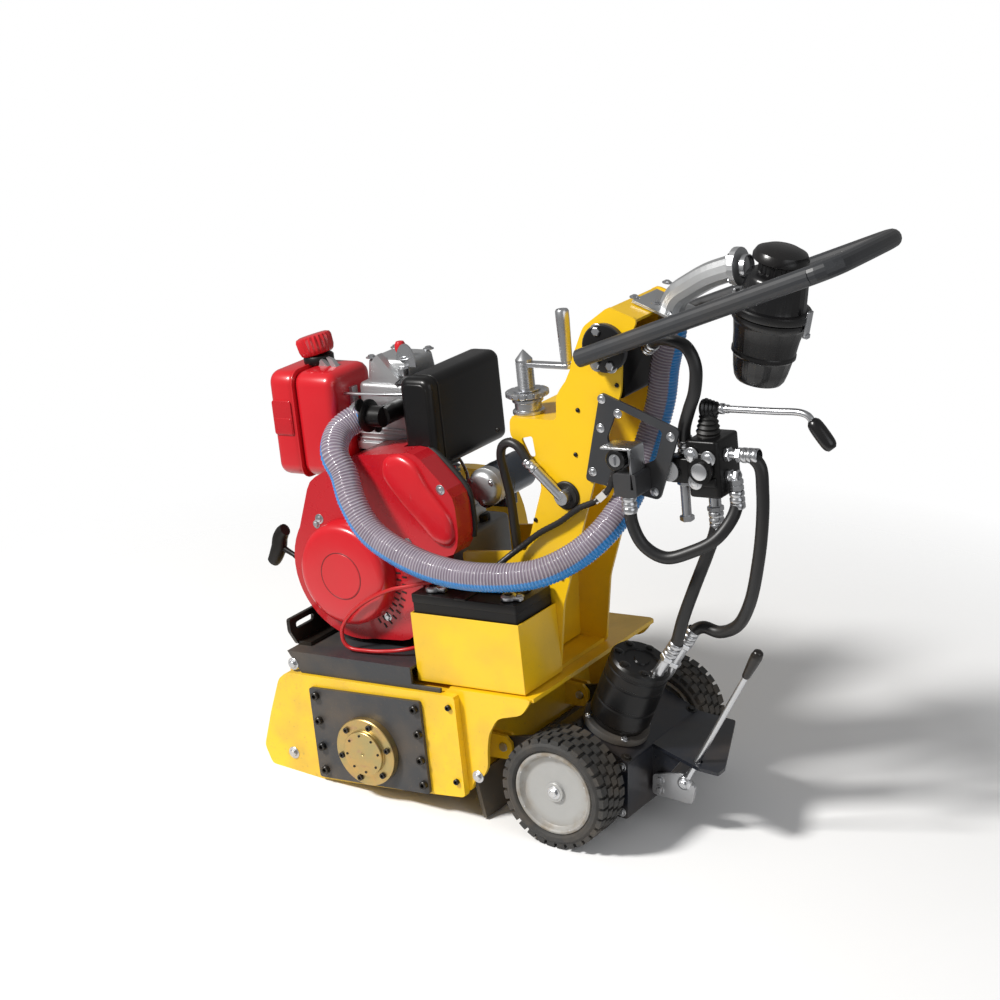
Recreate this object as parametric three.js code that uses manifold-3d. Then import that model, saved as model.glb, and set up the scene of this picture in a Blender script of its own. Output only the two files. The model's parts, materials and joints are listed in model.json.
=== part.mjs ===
// Walk-behind hydraulic cold planer (scarifier) with an air-cooled diesel engine.
// Millimetres. +X points to the rear, where the operator walks, -Y is the machine's left, +Z is up.
// The origin is on the ground at the middle of the machine's footprint.
import * as THREE from 'three';
import { mergeVertices } from 'three/addons/utils/BufferGeometryUtils.js';
import Module from 'manifold-3d';

// ---------------------------------------------------------------- driving dimensions
const GAP = 0.3;                 // daylight between pieces that touch

const PITCH = THREE.MathUtils.degToRad(7);   // the body parks nose-down by this much
const DRUM_X = -292;             // middle of the drum chamber, where the body's own axes start
const DRUM_Z = 89;
const AXIS_X = 15;               // milling drum axis, in the body's axes
const AXIS_Z = 12;
const DRUM_R = 62;               // over the cutter tips
const DRUM_LENGTH = 430;
const SHAFT_R = 20;

const FRAME_HALF = 236;          // outer face of the frame's side plates
const FRAME_WALL = 8;
const DECK_Z = 149;              // top of the drum hood, above the drum axis
const SHELF_Z = 157;             // top of the frame's rear shelf
const HOOD_REAR = 222;           // inner rear face of the drum chamber
const COVER_T = 17;              // drum side covers
const BEARING_T = 8;             // dark bearing plates on the covers
const FLANGE_R = 70;             // stepped flange over the drum bearing
const FLANGE_INNER_R = 46;
const FLANGE_T = 16;
const FLANGE_CAP_T = 8;

const BASE_T = 44;               // engine base, a folded channel
const BASE_OVERHANG = 9;         // the engine base reaches past the frame's side plates
const BASE_HALF = FRAME_HALF + BASE_OVERHANG;
const BASE_FRONT = -179;
const BASE_REAR = 194;
const BRACKET_T = 8;             // slotted bracket standing on the base

const COLUMN_HALF = 90;          // outer face of the column's side plates
const COLUMN_WALL = 6;

const WHEEL_X = 136;             // drive axle
const WHEEL_R = 113;
const WHEEL_W = 85;
const WHEEL_OUT = 245;           // outer face of the tyres
const RIM_R = 84;
const AXLE_R = 14;

const PIVOT_X = 265;             // drive frame pivot, in the body's own axes
const PIVOT_Z = 11;
const LINK_T = 8;
const LUG_T = 8;
const PIN_R = 9;

const BOX_HALF = 140;            // axle box
const LINK_OFFSET = 4;           // middle of each swing link, past the box's side
const PIVOT_Y = BOX_HALF + LINK_OFFSET;
const MOTOR_R = 61;
const MOTOR_L = 148;
const MOTOR_Y = -60;

const CRANK_X = -50;             // engine crankshaft
const CRANK_Z = 350;
const SHROUD_R = 145;
const SHROUD_OUT = 165;
const SHROUD_REAR = -110;        // the shroud's rear edge where it reaches past the crankcase
const RECOIL_R = 107;
const TANK = { x0: -255, x1: -90, y0: -110, y1: 30, z0: 515, z1: 735 };

const BATTERY_BOX = { x0: 128, x1: 378, y0: -225, z0: 160, z1: 301, wall: 3 };
const BATTERY_H = 178;
const BATTERY_PLAY = 2;

const SCREW_X = 334;             // depth crank
const SCREW_SHELF_Z = 667;       // shelf in the column that carries its bush
const SCREW_ROOM = 67;           // depth of the bore for the screw below the shelf
const SCREW_Y = -50;
const SCREW_R = 12;
const CRANK_ARM = 96;

const HANDLE_X = 544;            // handlebar pivot
const HANDLE_Z = 813;
const HANDLE_R = 17;
const HANDLE_HALF = 135;
const HANDLE_REACH = 490;
const HANDLE_RISE = 169;
const HANDLE_BEND = 45;
const DISC_R = 46;

const HOSE_R = 28;
const ELBOW_R = 24;
const HYD_R = 12;
const PORT_HOSE_R = 9;
const CABLE_R = 4;
const HARNESS_R = 6;
const PORT_X = 427;              // hose port through the column's left plate
const PORT_Z = 521;
const PORT_OUT = 22;             // how far its elbow stands off the plate
const PORT_MOUTH_OUT = 13.5;     // and the middle of the elbow's mouth
const PORT_A = [165, -30, 277];  // mouths of the motor's two hose fittings, from the axle
const PORT_B = [150, -70, 261];
const FITTING_X = 49;            // how far each fitting runs to the rear and up
const FITTING_Z = 90;

// ---------------------------------------------------------------- materials
const paint = (color, roughness = 0.4, metalness = 0) =>
  new THREE.MeshStandardMaterial({ color, roughness, metalness });
const YELLOW = paint(0xffcf1a, 0.35);
const DARK_GREY = paint(0x3b3d42, 0.45);
const RED = paint(0xc41a2a, 0.35);
const BLACK = paint(0x151517, 0.5);
const RUBBER = paint(0x1c1c1c, 0.85);
const RIM_GREY = paint(0xb4b7b6, 0.45, 0.6);
const ALUMINIUM = paint(0xb9bcc0, 0.4, 0.9);
const ZINC = paint(0xc8ccd0, 0.3, 0.95);
const GOLD_ZINC = paint(0xb99a55, 0.3, 0.9);
const CAST = paint(0x5a5850, 0.6, 0.5);
const CLEAR_HOSE = paint(0xb8b4ae, 0.25);

// ---------------------------------------------------------------- solids
const wasm = await Module();
wasm.setup();

// a three.js geometry as a manifold solid, without the slivers that meet on an axis
function solid(geometry) {
  const bare = geometry.clone();
  bare.deleteAttribute('normal');
  bare.deleteAttribute('uv');
  const merged = mergeVertices(bare, 1e-4);
  const index = merged.index.array;
  const kept = [];
  for (let i = 0; i < index.length; i += 3) {
    const [a, b, c] = [index[i], index[i + 1], index[i + 2]];
    if (a !== b && b !== c && c !== a) kept.push(a, b, c);
  }
  return new wasm.Manifold(new wasm.Mesh({
    numProp: 3,
    vertProperties: new Float32Array(merged.attributes.position.array),
    triVerts: new Uint32Array(kept),
  }));
}

// a manifold solid as a three.js mesh
function part(name, material, shape) {
  const mesh = shape.getMesh();
  const geometry = new THREE.BufferGeometry();
  geometry.setAttribute('position', new THREE.BufferAttribute(mesh.vertProperties, 3));
  geometry.setIndex(new THREE.BufferAttribute(mesh.triVerts, 1));
  geometry.computeVertexNormals();
  const out = new THREE.Mesh(geometry, material);
  out.name = name;
  return out;
}

const join = (...shapes) => shapes.reduce((whole, next) => whole.add(next));
const cut = (shape, ...tools) => tools.reduce((whole, tool) => whole.subtract(tool), shape);

function box(x0, x1, y0, y1, z0, z1) {
  const geometry = new THREE.BoxGeometry(x1 - x0, y1 - y0, z1 - z0);
  geometry.translate((x0 + x1) / 2, (y0 + y1) / 2, (z0 + z1) / 2);
  return solid(geometry);
}

// a round bar between two points; r1 at the far end makes it a cone
function bar(from, to, r, r1 = r, sides = 24) {
  const a = new THREE.Vector3(...from);
  const b = new THREE.Vector3(...to);
  const along = b.clone().sub(a);
  const geometry = new THREE.CylinderGeometry(r1, r, along.length(), sides);
  const turn = new THREE.Quaternion().setFromUnitVectors(
    new THREE.Vector3(0, 1, 0), along.clone().normalize());
  geometry.applyQuaternion(turn);
  geometry.translate(...a.add(b).multiplyScalar(0.5).toArray());
  return solid(geometry);
}

// a shape outline with its corners rounded by r
function rounded(points, r) {
  const shape = new THREE.Shape();
  const corners = points.map(([x, z]) => new THREE.Vector2(x, z));
  const count = corners.length;
  corners.forEach((corner, i) => {
    const before = corners[(i + count - 1) % count];
    const after = corners[(i + 1) % count];
    const back = Math.min(r, corner.distanceTo(before) / 2.1);
    const ahead = Math.min(r, corner.distanceTo(after) / 2.1);
    const start = corner.clone().add(before.clone().sub(corner).setLength(back));
    const end = corner.clone().add(after.clone().sub(corner).setLength(ahead));
    if (i === 0) shape.moveTo(start.x, start.y);
    else shape.lineTo(start.x, start.y);
    shape.quadraticCurveTo(corner.x, corner.y, end.x, end.y);
  });
  shape.closePath();
  return shape;
}

// an XZ outline carried from y0 to y1
function slab(points, y0, y1, r = 0, steps = 4) {
  const shape = r > 0 ? rounded(points, r) : new THREE.Shape(points.map(([x, z]) => new THREE.Vector2(x, z)));
  const geometry = new THREE.ExtrudeGeometry(shape, { depth: y1 - y0, bevelEnabled: false, curveSegments: steps });
  geometry.rotateX(Math.PI / 2);
  geometry.translate(0, y1, 0);
  return solid(geometry);
}

// a YZ outline carried from x0 to x1
function slabX(points, x0, x1, r) {
  const geometry = new THREE.ExtrudeGeometry(rounded(points, r), {
    depth: x1 - x0, bevelEnabled: false, curveSegments: 3,
  });
  geometry.applyMatrix4(new THREE.Matrix4().makeBasis(
    new THREE.Vector3(0, 1, 0), new THREE.Vector3(0, 0, 1), new THREE.Vector3(1, 0, 0)));
  geometry.translate(x0, 0, 0);
  return solid(geometry);
}

// an XY outline carried from z0 to z1
function slabZ(points, z0, z1, r) {
  const geometry = new THREE.ExtrudeGeometry(rounded(points, r), {
    depth: z1 - z0, bevelEnabled: false, curveSegments: 3,
  });
  geometry.translate(0, 0, z0);
  return solid(geometry);
}

// a box whose edges along one axis are rounded
function softBox(x0, x1, y0, y1, z0, z1, r) {
  return slab([[x0, z0], [x1, z0], [x1, z1], [x0, z1]], y0, y1, r);
}

// a hose along a smooth curve
function tube(points, r, steps, sides = 10) {
  const path = new THREE.CatmullRomCurve3(points.map((p) => new THREE.Vector3(...p)), false, 'centripetal');
  const section = new THREE.Shape();
  section.absarc(0, 0, r, 0, 2 * Math.PI);
  const geometry = new THREE.ExtrudeGeometry(section, {
    steps, bevelEnabled: false, extrudePath: path, curveSegments: sides / 2,
  });
  return solid(geometry);
}

// a profile of [radius, y] pairs turned about the Y axis, then moved
function turned(profile, x, z, sides = 32) {
  const geometry = new THREE.LatheGeometry(profile.map(([r, y]) => new THREE.Vector2(r, y)), sides);
  geometry.translate(x, 0, z);
  return solid(geometry);
}

// ---------------------------------------------------------------- body: frame and drum chamber
// height, in the body's axes, of the ground under a point
const floorAt = (x) => (-DRUM_Z - x * Math.sin(PITCH)) / Math.cos(PITCH);

const SKID_REAR = -125;
const SKID_FRONT = -250;

function coverOutline() {
  return [[-182, DECK_Z], [230, DECK_Z], [230, -62], [80, -69], [SKID_REAR, floorAt(SKID_REAR)],
    [SKID_FRONT, floorAt(SKID_FRONT)], [-264, -20], [-236, 57], [-204, 133]];
}

function framePlate(y0, y1) {
  const outline = [[-182, DECK_Z - 1], [196, DECK_Z - 1], [205, SHELF_Z], [398, SHELF_Z], [372, 122], [314, 108],
    [290, 72], [283, 37], [280, -1], [262, -25], [244, -28], [236, -55], [80, -62], [SKID_REAR, -62],
    [-246, -48], [-252, -20], [-230, 57], [-204, 133]];
  return slab(outline, y0, y1, 12, 2);
}

function mainFrame() {
  const inner = FRAME_HALF - FRAME_WALL;
  const shell = join(
    framePlate(-FRAME_HALF, -inner),
    framePlate(inner, FRAME_HALF),
    box(-190, HOOD_REAR, -inner - 1, inner + 1, DECK_Z - 1 - FRAME_WALL, DECK_Z - 1),
    box(HOOD_REAR, HOOD_REAR + FRAME_WALL, -inner - 1, inner + 1, -55, DECK_Z - 2),
    slab([[-190, DECK_Z - 9], [-182, DECK_Z - 1], [-204, 133], [-250, -20], [-246, -45], [-238, -45],
      [-241, -20], [-196, 128]], -inner - 1, inner + 1),
    box(205, 398, -inner - 1, inner + 1, SHELF_Z - FRAME_WALL, SHELF_Z),
    box(HOOD_REAR, HOOD_REAR + 32, -inner - 1, inner + 1, SHELF_Z - 2 * FRAME_WALL, SHELF_Z),
  );
  const lugs = [];
  for (const side of [-1, 1]) {
    for (const step of [-1, 1]) {
      const middle = side * PIVOT_Y + step * (LINK_T / 2 + LUG_T / 2 + 1);
      lugs.push(slab([[HOOD_REAR + 4, -14], [PIVOT_X + 8, -14], [PIVOT_X + 20, 2], [PIVOT_X + 20, 20],
        [PIVOT_X + 8, 34], [HOOD_REAR + 4, 38]], middle - LUG_T / 2, middle + LUG_T / 2));
    }
  }
  const bores = bar([AXIS_X, -FRAME_HALF - 5, AXIS_Z], [AXIS_X, FRAME_HALF + 5, AXIS_Z], SHAFT_R + 20);
  const pins = bar([PIVOT_X, -200, PIVOT_Z], [PIVOT_X, 200, PIVOT_Z], PIN_R + GAP, PIN_R + GAP, 24);
  return part('main_frame', YELLOW, cut(join(shell, ...lugs), bores, pins));
}

function sideCover(name, y0, y1) {
  const bore = bar([AXIS_X, y0 - 5, AXIS_Z], [AXIS_X, y1 + 5, AXIS_Z], 45);
  return part(name, YELLOW, cut(slab(coverOutline(), y0, y1, 8, 2), bore));
}

function bearing(side, names) {
  const face = side * (FRAME_HALF + GAP + COVER_T + GAP);
  const out = face + side * BEARING_T;
  const plate = slab([[-121, -66], [151, -64], [151, 131], [-121, 127]],
    Math.min(face, out), Math.max(face, out), 6);
  const bore = bar([AXIS_X, face - 20, AXIS_Z], [AXIS_X, face + 20, AXIS_Z], SHAFT_R + 3);
  const lip = out + side * GAP;
  const step = lip + side * FLANGE_T;
  const cap = step + side * FLANGE_CAP_T;
  const flange = join(
    bar([AXIS_X, lip, AXIS_Z], [AXIS_X, step, AXIS_Z], FLANGE_R, FLANGE_R, 40),
    bar([AXIS_X, step, AXIS_Z], [AXIS_X, cap, AXIS_Z], FLANGE_INNER_R, FLANGE_INNER_R, 40),
  );
  return [part(names[0], DARK_GREY, cut(plate, bore)), part(names[1], GOLD_ZINC, flange)];
}

function beltGuard() {
  const y0 = FRAME_HALF + GAP + COVER_T + GAP;
  const y1 = FRAME_HALF + COVER_T + 33;
  const shell = slab([[-90, 90], [-70, -58], [70, -58], [95, 60], [70, 380], [20, 440], [-110, 440],
    [-165, 380], [-165, 280]], y0, y1, 60, 6);
  return part('belt_guard', YELLOW, shell);
}

function rearSkirt() {
  const half = FRAME_HALF - FRAME_WALL - 8;
  const top = [HOOD_REAR + FRAME_WALL + GAP, -30];
  const foot = floorAt(246) + 4;
  return part('rear_skirt', RUBBER, slab([top, [top[0] + 8, -28], [top[0] + 22, foot], [top[0] + 14, foot]],
    -half, half));
}

function engineBase() {
  const z0 = DECK_Z + GAP;
  const z1 = z0 + BASE_T;
  const skin = 6;
  const outer = slab([[BASE_FRONT + 30, z0], [BASE_REAR, z0], [BASE_REAR, z1], [BASE_FRONT, z1]],
    -BASE_HALF, BASE_HALF);
  const hollow = box(BASE_FRONT + 50, BASE_REAR + 1, -BASE_HALF + skin, BASE_HALF - skin, z0 - 1, z1 - skin);
  const notch = box(BATTERY_BOX.x0 - 2, BASE_REAR + 1, -BASE_HALF - 1, -COLUMN_HALF + 3, z0 + 9, z1 + 1);
  return part('engine_base', DARK_GREY, cut(outer, hollow, notch));
}

function frontBracket() {
  const foot = DECK_Z + GAP + BASE_T + GAP;
  const front = BASE_FRONT - 6;
  const plate = slabX([[-208, foot], [-70, foot], [-70, foot + 60], [-228, foot + 60], [-228, foot + 34]],
    front, front + BRACKET_T, 5);
  const slot = slabX([[-208, foot + 34], [-150, foot + 34], [-150, foot + 48], [-208, foot + 48]],
    front - 1, front + BRACKET_T + 1, 6);
  const tab = box(front + BRACKET_T - 1, front + 40, -208, -70, foot, foot + BRACKET_T);
  return part('front_bracket', BLACK, join(cut(plate, slot), tab));
}

// ---------------------------------------------------------------- column
function columnPlate(y0, y1) {
  const foot = SHELF_Z + GAP;
  const outline = [[BASE_REAR + 3, foot], [372, foot], [396, 300], [491, 552], [567, 729], [575, 793],
    [615, 867], [556, 889], [498, 850], [468, 790], [457, 754], [434, 728], [424, 712], [420, SCREW_SHELF_Z],
    [315, SCREW_SHELF_Z], [312, SCREW_SHELF_Z - 36], [352, SCREW_SHELF_Z - 77], [365, SCREW_SHELF_Z - 96],
    [372, SCREW_SHELF_Z - 135], [322, 400], [170, 386],
    [175, 200], [BASE_REAR + 3, 200]];
  return slab(outline, y0, y1, 9, 2);
}

function column() {
  const inner = COLUMN_HALF - COLUMN_WALL;
  const web = (points) => slab(points, -inner - 1, inner + 1);
  const shell = join(
    columnPlate(-COLUMN_HALF, -inner),
    columnPlate(inner, COLUMN_HALF),
    web([[323, 405], [371, SCREW_SHELF_Z - 139], [377, SCREW_SHELF_Z - 141], [329, 402]]),
    web([[305, 170], [323, 405], [330, 404], [312, 168]]),
    web([[316, SCREW_SHELF_Z - 6], [419, SCREW_SHELF_Z - 6], [419, SCREW_SHELF_Z], [316, SCREW_SHELF_Z]]),
    web([[428, 700], [437, 728], [470, 788], [500, 848], [556, 886], [610, 866], [607, 860], [557, 879],
      [504, 843], [476, 786], [443, 726], [434, 698]]),
    web([[210, SHELF_Z + GAP], [368, SHELF_Z + GAP], [368, SHELF_Z + 8], [210, SHELF_Z + 8]]),
  );
  const window_ = slab([[336, SCREW_SHELF_Z - 40], [362, SCREW_SHELF_Z - 34], [366, SCREW_SHELF_Z - 74],
    [352, SCREW_SHELF_Z - 77]], -COLUMN_HALF - 2, COLUMN_HALF + 2, 6);
  const port = bar([PORT_X, -COLUMN_HALF - 2, PORT_Z], [PORT_X, -COLUMN_HALF + COLUMN_WALL + 2, PORT_Z], 20);
  const screw = bar([SCREW_X, SCREW_Y, SCREW_SHELF_Z - SCREW_ROOM], [SCREW_X, SCREW_Y, SCREW_SHELF_Z + 33],
    SCREW_R + 2);
  const duct = bar([628, 10, 820], [628, 10, 900], ELBOW_R + 3);
  return part('column', YELLOW, cut(shell, window_, port, screw, duct));
}

// ---------------------------------------------------------------- engine
function engine() {
  const foot = DECK_Z + GAP + BASE_T + GAP;
  const inside = -55;
  const block = join(
    softBox(-175, 150, inside, 120, foot, 400, 14),
    bar([CRANK_X, 119, CRANK_Z], [CRANK_X, 205, CRANK_Z], 22),
    softBox(-86, 62, -50, 90, 399, 568, 10),
  );
  const blower = slab([[-18, 590], [136, 607], [218, 522], [220, 442], [206, 402], [124, 396], [118, 260],
    [74, 214], [-60, 206], [-199, 356], [-132, 531]], -SHROUD_OUT, inside - GAP, 20, 2);
  const pastBlock = box(152, 260, SHROUD_REAR, inside + 1, 380, 620);
  const shroudShape = join(
    cut(blower, pastBlock),
    bar([CRANK_X, -SHROUD_OUT, CRANK_Z], [CRANK_X, inside - GAP, CRANK_Z], SHROUD_R, SHROUD_R, 48),
  );
  const recoil = join(
    bar([CRANK_X, -SHROUD_OUT - GAP, CRANK_Z], [CRANK_X, -SHROUD_OUT - 34, CRANK_Z], RECOIL_R, RECOIL_R - 3, 48),
    bar([CRANK_X, -SHROUD_OUT - 30, CRANK_Z], [CRANK_X, -SHROUD_OUT - 39, CRANK_Z], RECOIL_R - 8, RECOIL_R - 14, 48),
  );
  const grip = join(
    bar([-262, -150, 352], [-228, -150, 412], 11),
    bar([-246, -150, 381], [-190, -150, 355], 9),
  );
  const gripRoom = join(
    bar([CRANK_X, -SHROUD_OUT - 1, CRANK_Z], [CRANK_X, -50, CRANK_Z], SHROUD_R + GAP, SHROUD_R + GAP, 48),
    shroudShape.translate([-GAP, 0, 0]),
  );
  const tank = softBox(TANK.x0, TANK.x1, TANK.y0, TANK.y1, TANK.z0, TANK.z1, 26);
  const tankRoom = box(TANK.x0, TANK.x1 + 2, TANK.y0 - 2, TANK.y1, TANK.z0 - GAP, TANK.z1);
  const collar = join(
    bar([-184, -20, TANK.z1 + GAP], [-184, -20, TANK.z1 + 18], 30),
    bar([-184, -20, TANK.z1 + 17], [-180, -20, TANK.z1 + 57], 36),
  );
  const head = join(
    box(TANK.x1 + 2, 62, -54, 95, 568 + GAP, 610),
    softBox(-84, 58, -50, 80, 609, 690, 8),
    softBox(-60, 52, -36, 66, 689, 752, 12),
  );
  const silencerRoom = box(74, 152, -114, 0, 550, 760);
  const silencer = softBox(76, 150, -112, 140, 552, 738, 18);
  const stub = bar([61, 20, 640], [77, 20, 640], 22);
  const starter = join(
    bar([205, -42, 505], [205, 90, 505], 38),
    bar([205, -53, 505], [205, -41, 505], 30),
    box(150 - 1, 200, 40, 78, 440, 480),
    box(130, 151, 40, 78, 420, 470),
  );
  const [flangeX, flangeY, flangeZ] = INTAKE_FLANGE;
  const mount = join(
    bar([flangeX, flangeY, flangeZ], [flangeX + 6, flangeY, flangeZ], 31),
    bar([flangeX, flangeY - 26, flangeZ + 28], [flangeX + 6, flangeY - 26, flangeZ + 28], 12, 12, 16),
    bar([flangeX, flangeY + 26, flangeZ - 28], [flangeX + 6, flangeY + 26, flangeZ - 28], 12, 12, 16),
    bar([flangeX + 5, flangeY, flangeZ], [flangeX + 34, flangeY, flangeZ], 20, 20, 16),
    bar([flangeX + 34, flangeY - 12, flangeZ], [flangeX + 34, -50 - GAP, flangeZ], 20, 20, 16),
  );
  return [
    part('engine_block', CAST, block),
    part('engine_shroud', RED, cut(shroudShape, silencerRoom, tankRoom)),
    part('recoil_starter', RED, recoil),
    part('starter_grip', BLACK, cut(grip, gripRoom)),
    part('fuel_tank', RED, tank),
    part('fuel_cap', RED, collar),
    part('cylinder_head', ALUMINIUM, head),
    part('silencer', BLACK, join(silencer, cut(stub, box(50, 62 + GAP, 0, 40, 600, 680)))),
    part('starter_motor', ALUMINIUM, cut(starter, box(100, 150 + GAP, 20, 100, 380, 500))),
    part('intake_flange', BLACK, mount),
  ];
}

// ---------------------------------------------------------------- battery
function battery() {
  const { x0, x1, y0, z0, z1, wall } = BATTERY_BOX;
  const y1 = -COLUMN_HALF - GAP;
  const hollow = box(x0 + wall, x1 - wall, y0 + wall, y1 - wall, z0 + wall, z1 + 1);
  const tray = cut(box(x0, x1, y0, y1, z0, z1), hollow);
  const inset = wall + BATTERY_PLAY;
  const cell = join(
    box(x0 + inset, x1 - inset, y0 + inset, y1 - inset, z0 + wall + GAP, z0 + BATTERY_H),
    bar([x0 + 40, y0 + 30, z0 + BATTERY_H - 1], [x0 + 40, y0 + 30, z0 + BATTERY_H + 14], 9, 9, 16),
    bar([x1 - 35, y0 + 30, z0 + BATTERY_H - 1], [x1 - 35, y0 + 30, z0 + BATTERY_H + 14], 9, 9, 16),
  );
  return [part('battery_box', YELLOW, tray), part('battery', BLACK, cell)];
}

// ---------------------------------------------------------------- air intake
const INTAKE_FLANGE = [-6, -112, 658];
const HOSE_POINTS = [[-6.4, -112, 658], [-12, -112, 658], [-20, -112.5, 657], [-46, -152, 636], [-32, -197, 602], [-6, -208, 566], [20, -226, 520],
  [62, -236, 466], [134, -242, 428], [223, -242, 402], [331, -236, 396], [424, -208, 404], [480, -166, 428],
  [520, -132, 462], [542, -88, 500], [556, -40, 552], [572, -8, 620], [592, 8, 690], [606, 10, 757],
  [620, 10, 800], [628, 10, 828], [628, 10, 840]];

function intake() {
  const duct = [[628, 10, 840.5], [628, 10, 854], [633, 10, 872], [647, 8, 891], [675, 5, 908], [723, 2, 932], [778, 0, 949]];
  const elbow = join(
    tube(duct, ELBOW_R, 16, 12),
    bar([774, 0, 949], [786, 0, 949], 35),
  );
  const slope = (x) => 888 + GAP + 0.6 - (x - 556) * 22 / 56;
  const plate = slab([[570, slope(570)], [668, slope(668)], [670, slope(668) + 5], [572, slope(570) + 5]], -30, 62);
  // the cleaner hangs plumb, so it leans in the body's axes
  const at = (z) => [803 + (z - 738) * 0.279, 0, z];
  const cleaner = join(
    bar([786 + GAP, 0, 949], [838, 0, 949], 20, 20, 20),
    bar(at(866 + GAP), at(880), 73, 72, 32),
    bar(at(879), at(940), 60, 62, 28),
    bar(at(939), at(958), 40, 40, 24),
    bar(at(957), at(966), 50, 54, 28),
    bar(at(965), at(988), 54, 34, 28),
  );
  const cup = join(
    bar(at(760), at(866), 60, 70, 36),
    bar(at(738), at(760.5), 46, 58, 36),
  );
  return [
    part('intake_elbow', ALUMINIUM, join(elbow, plate)),
    part('air_cleaner', BLACK, cleaner),
    part('cleaner_cup', BLACK, cup),
    part('intake_hose', CLEAR_HOSE, tube(HOSE_POINTS, HOSE_R, 44, 12)),
  ];
}

// ---------------------------------------------------------------- controls on the column
function controls() {
  const near = -COLUMN_HALF - GAP;
  const ring = cut(
    slab([[525, 729], [688, 666], [633, 529], [476, 556]], near - 6, near, 10),
    slab([[560, 700], [652, 662], [632, 606], [590, 590], [552, 606], [530, 640]], near - 8, near + 2, 10),
  );
  const cabinet = softBox(492, 556, -58, 58, 708, 812, 10);
  const tieEnd = COLUMN_HALF - COLUMN_WALL - GAP;
  const tie = box(500, 520, -tieEnd, tieEnd, 740, 770);
  const valve = join(
    softBox(690, 760, -92, -2, 536, 648, 8),
    softBox(650, 692, -84, -30, 560, 610, 6),
    bar([722, -50, 647], [727, -52, 694], 26, 15, 24),
    bar([759, -60, 616], [792, -60, 616], 11, 11, 16),
    bar([759, -60, 575], [783, -60, 575], 11, 11, 16),
    bar([775, -60, 582], [775, -60, 548], 11, 11, 16),
    bar([720, -45, 500], [720, -45, 541], 16, 16, 16),
    bar([667, -60, 482], [669, -60, 561], 13, 13, 16),
  );
  const lever = join(
    bar([728, -52, 698], [924, -60, 702], 6, 6, 16),
    bar([922, -60, 703], [938, -61, 686], 6, 6, 16),
    bar([936, -61, 690], [974, -63, 640], 11, 11, 16),
  );
  const key = join(
    slab([[545, 598], [610, 598], [606, 640], [545, 636]], near - 14, near - 11),
    bar([558, near - 13.5, 618], [558, near - 52, 618], 17, 17, 20),
  );
  const bulkhead = softBox(570, 618, -150, -COLUMN_HALF - GAP - 6 - GAP, 548, 592, 6);
  return [
    part('control_bracket', DARK_GREY, ring),
    part('hose_bulkhead', DARK_GREY, bulkhead),
    part('control_box', BLACK, join(cabinet, tie)),
    part('valve_block', BLACK, valve),
    part('valve_lever', ZINC, cut(lever, bar([722, -50, 647], [727, -52, 694.4], 26.4, 15.4, 24))),
    part('key_switch', ZINC, key),
  ];
}

const LOWER_LOOP = [[591, -134, 547], [591, -134, 525], [594, -134, 490], [612, -130, 450], [650, -122, 428], [700, -108, 440],
  [742, -94, 462], [768, -72, 498], [775, -61, 525],
  [775, -60, 540], [775, -60, 547.6]];
const UPPER_LOOP = [[600, -40, 800], [640, -66, 826], [680, -84, 830], [712, -90, 820], [727, -90, 788],
  [720, -86, 740], [700, -78, 700], [680, -66, 660], [674, -58, 630], [674, -58, 611]];

// a point given from the drive axle, in the body's axes
function inBody([x, y, z]) {
  const dx = WHEEL_X + x - DRUM_X;
  const dz = WHEEL_R + z - DRUM_Z;
  return [dx * Math.cos(PITCH) + dz * Math.sin(PITCH), y, dz * Math.cos(PITCH) - dx * Math.sin(PITCH)];
}

// the last points of a hose that leaves a motor port straight
function portEnd(port) {
  const run = Math.hypot(FITTING_X, FITTING_Z);
  const leaving = (distance) => inBody([
    port[0] + distance * FITTING_X / run, port[1], port[2] + distance * FITTING_Z / run]);
  return [leaving(28), leaving(GAP)];
}

const MOTOR_HOSE_A = [[792.6, -60, 616], [800, -60, 616], [808, -60, 615.5], [826, -60, 598], [828, -60, 550],
  [822, -58, 493], [806, -54, 416], [776, -46, 325], [742, -38, 275], [700, -32, 256], [664, -30, 261],
  ...portEnd(PORT_A)];
const MOTOR_HOSE_B = [[720, -45, 499.6], [720, -45, 486], [718, -48, 464], [702, -56, 420], [672, -66, 350],
  [646, -70, 290], ...portEnd(PORT_B)];

const BATTERY_CABLE = [[168, -195, 357], [152, -202, 356], [118, -208, 348], [82, -213, 340], [44, -214, 324],
  [-2, -214, 298], [-40, -214, 265], [-56, -214, 239], [-54, -214, 214], [-42, -212, 203], [0, -210, 201],
  [33, -206, 202], [80, -198, 208], [104, -180, 211], [112, -150, 211], [112, -100, 211], [112, -55.5, 211]];
const EARTH_CABLE = [[343, -195, 357], [352, -192, 362], [366, -184, 370], [385, -160, 374], [400, -130, 376],
  [408, -108, 377], [410, -90.6, 378]];
const HARNESS = [[548, -104, 596.8], [547, -104, 585], [531, -106, 546], [500, -104, 520], [460, -102, 502],
  [412, -101, 470], [364, -101, 444], [325, -104, 416], [300, -112, 398], [284, -126, 384], [276, -138, 374],
  [276, -139, 365.2]];
const PORT_HOSE = [[372, -103.5, 570], [364, -103.1, 577.1], [354, -103, 589], [345, -102.6, 604],
  [332, -102, 617], [316, -101, 621], [298, -98, 612], [286, -90, 588], [281, -76, 550], [280, -64, 500],
  [280, -60, 440], [280, -58, 400], [280, -56, 300], [280, -56, 200], [280, -56, 167]];

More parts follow.
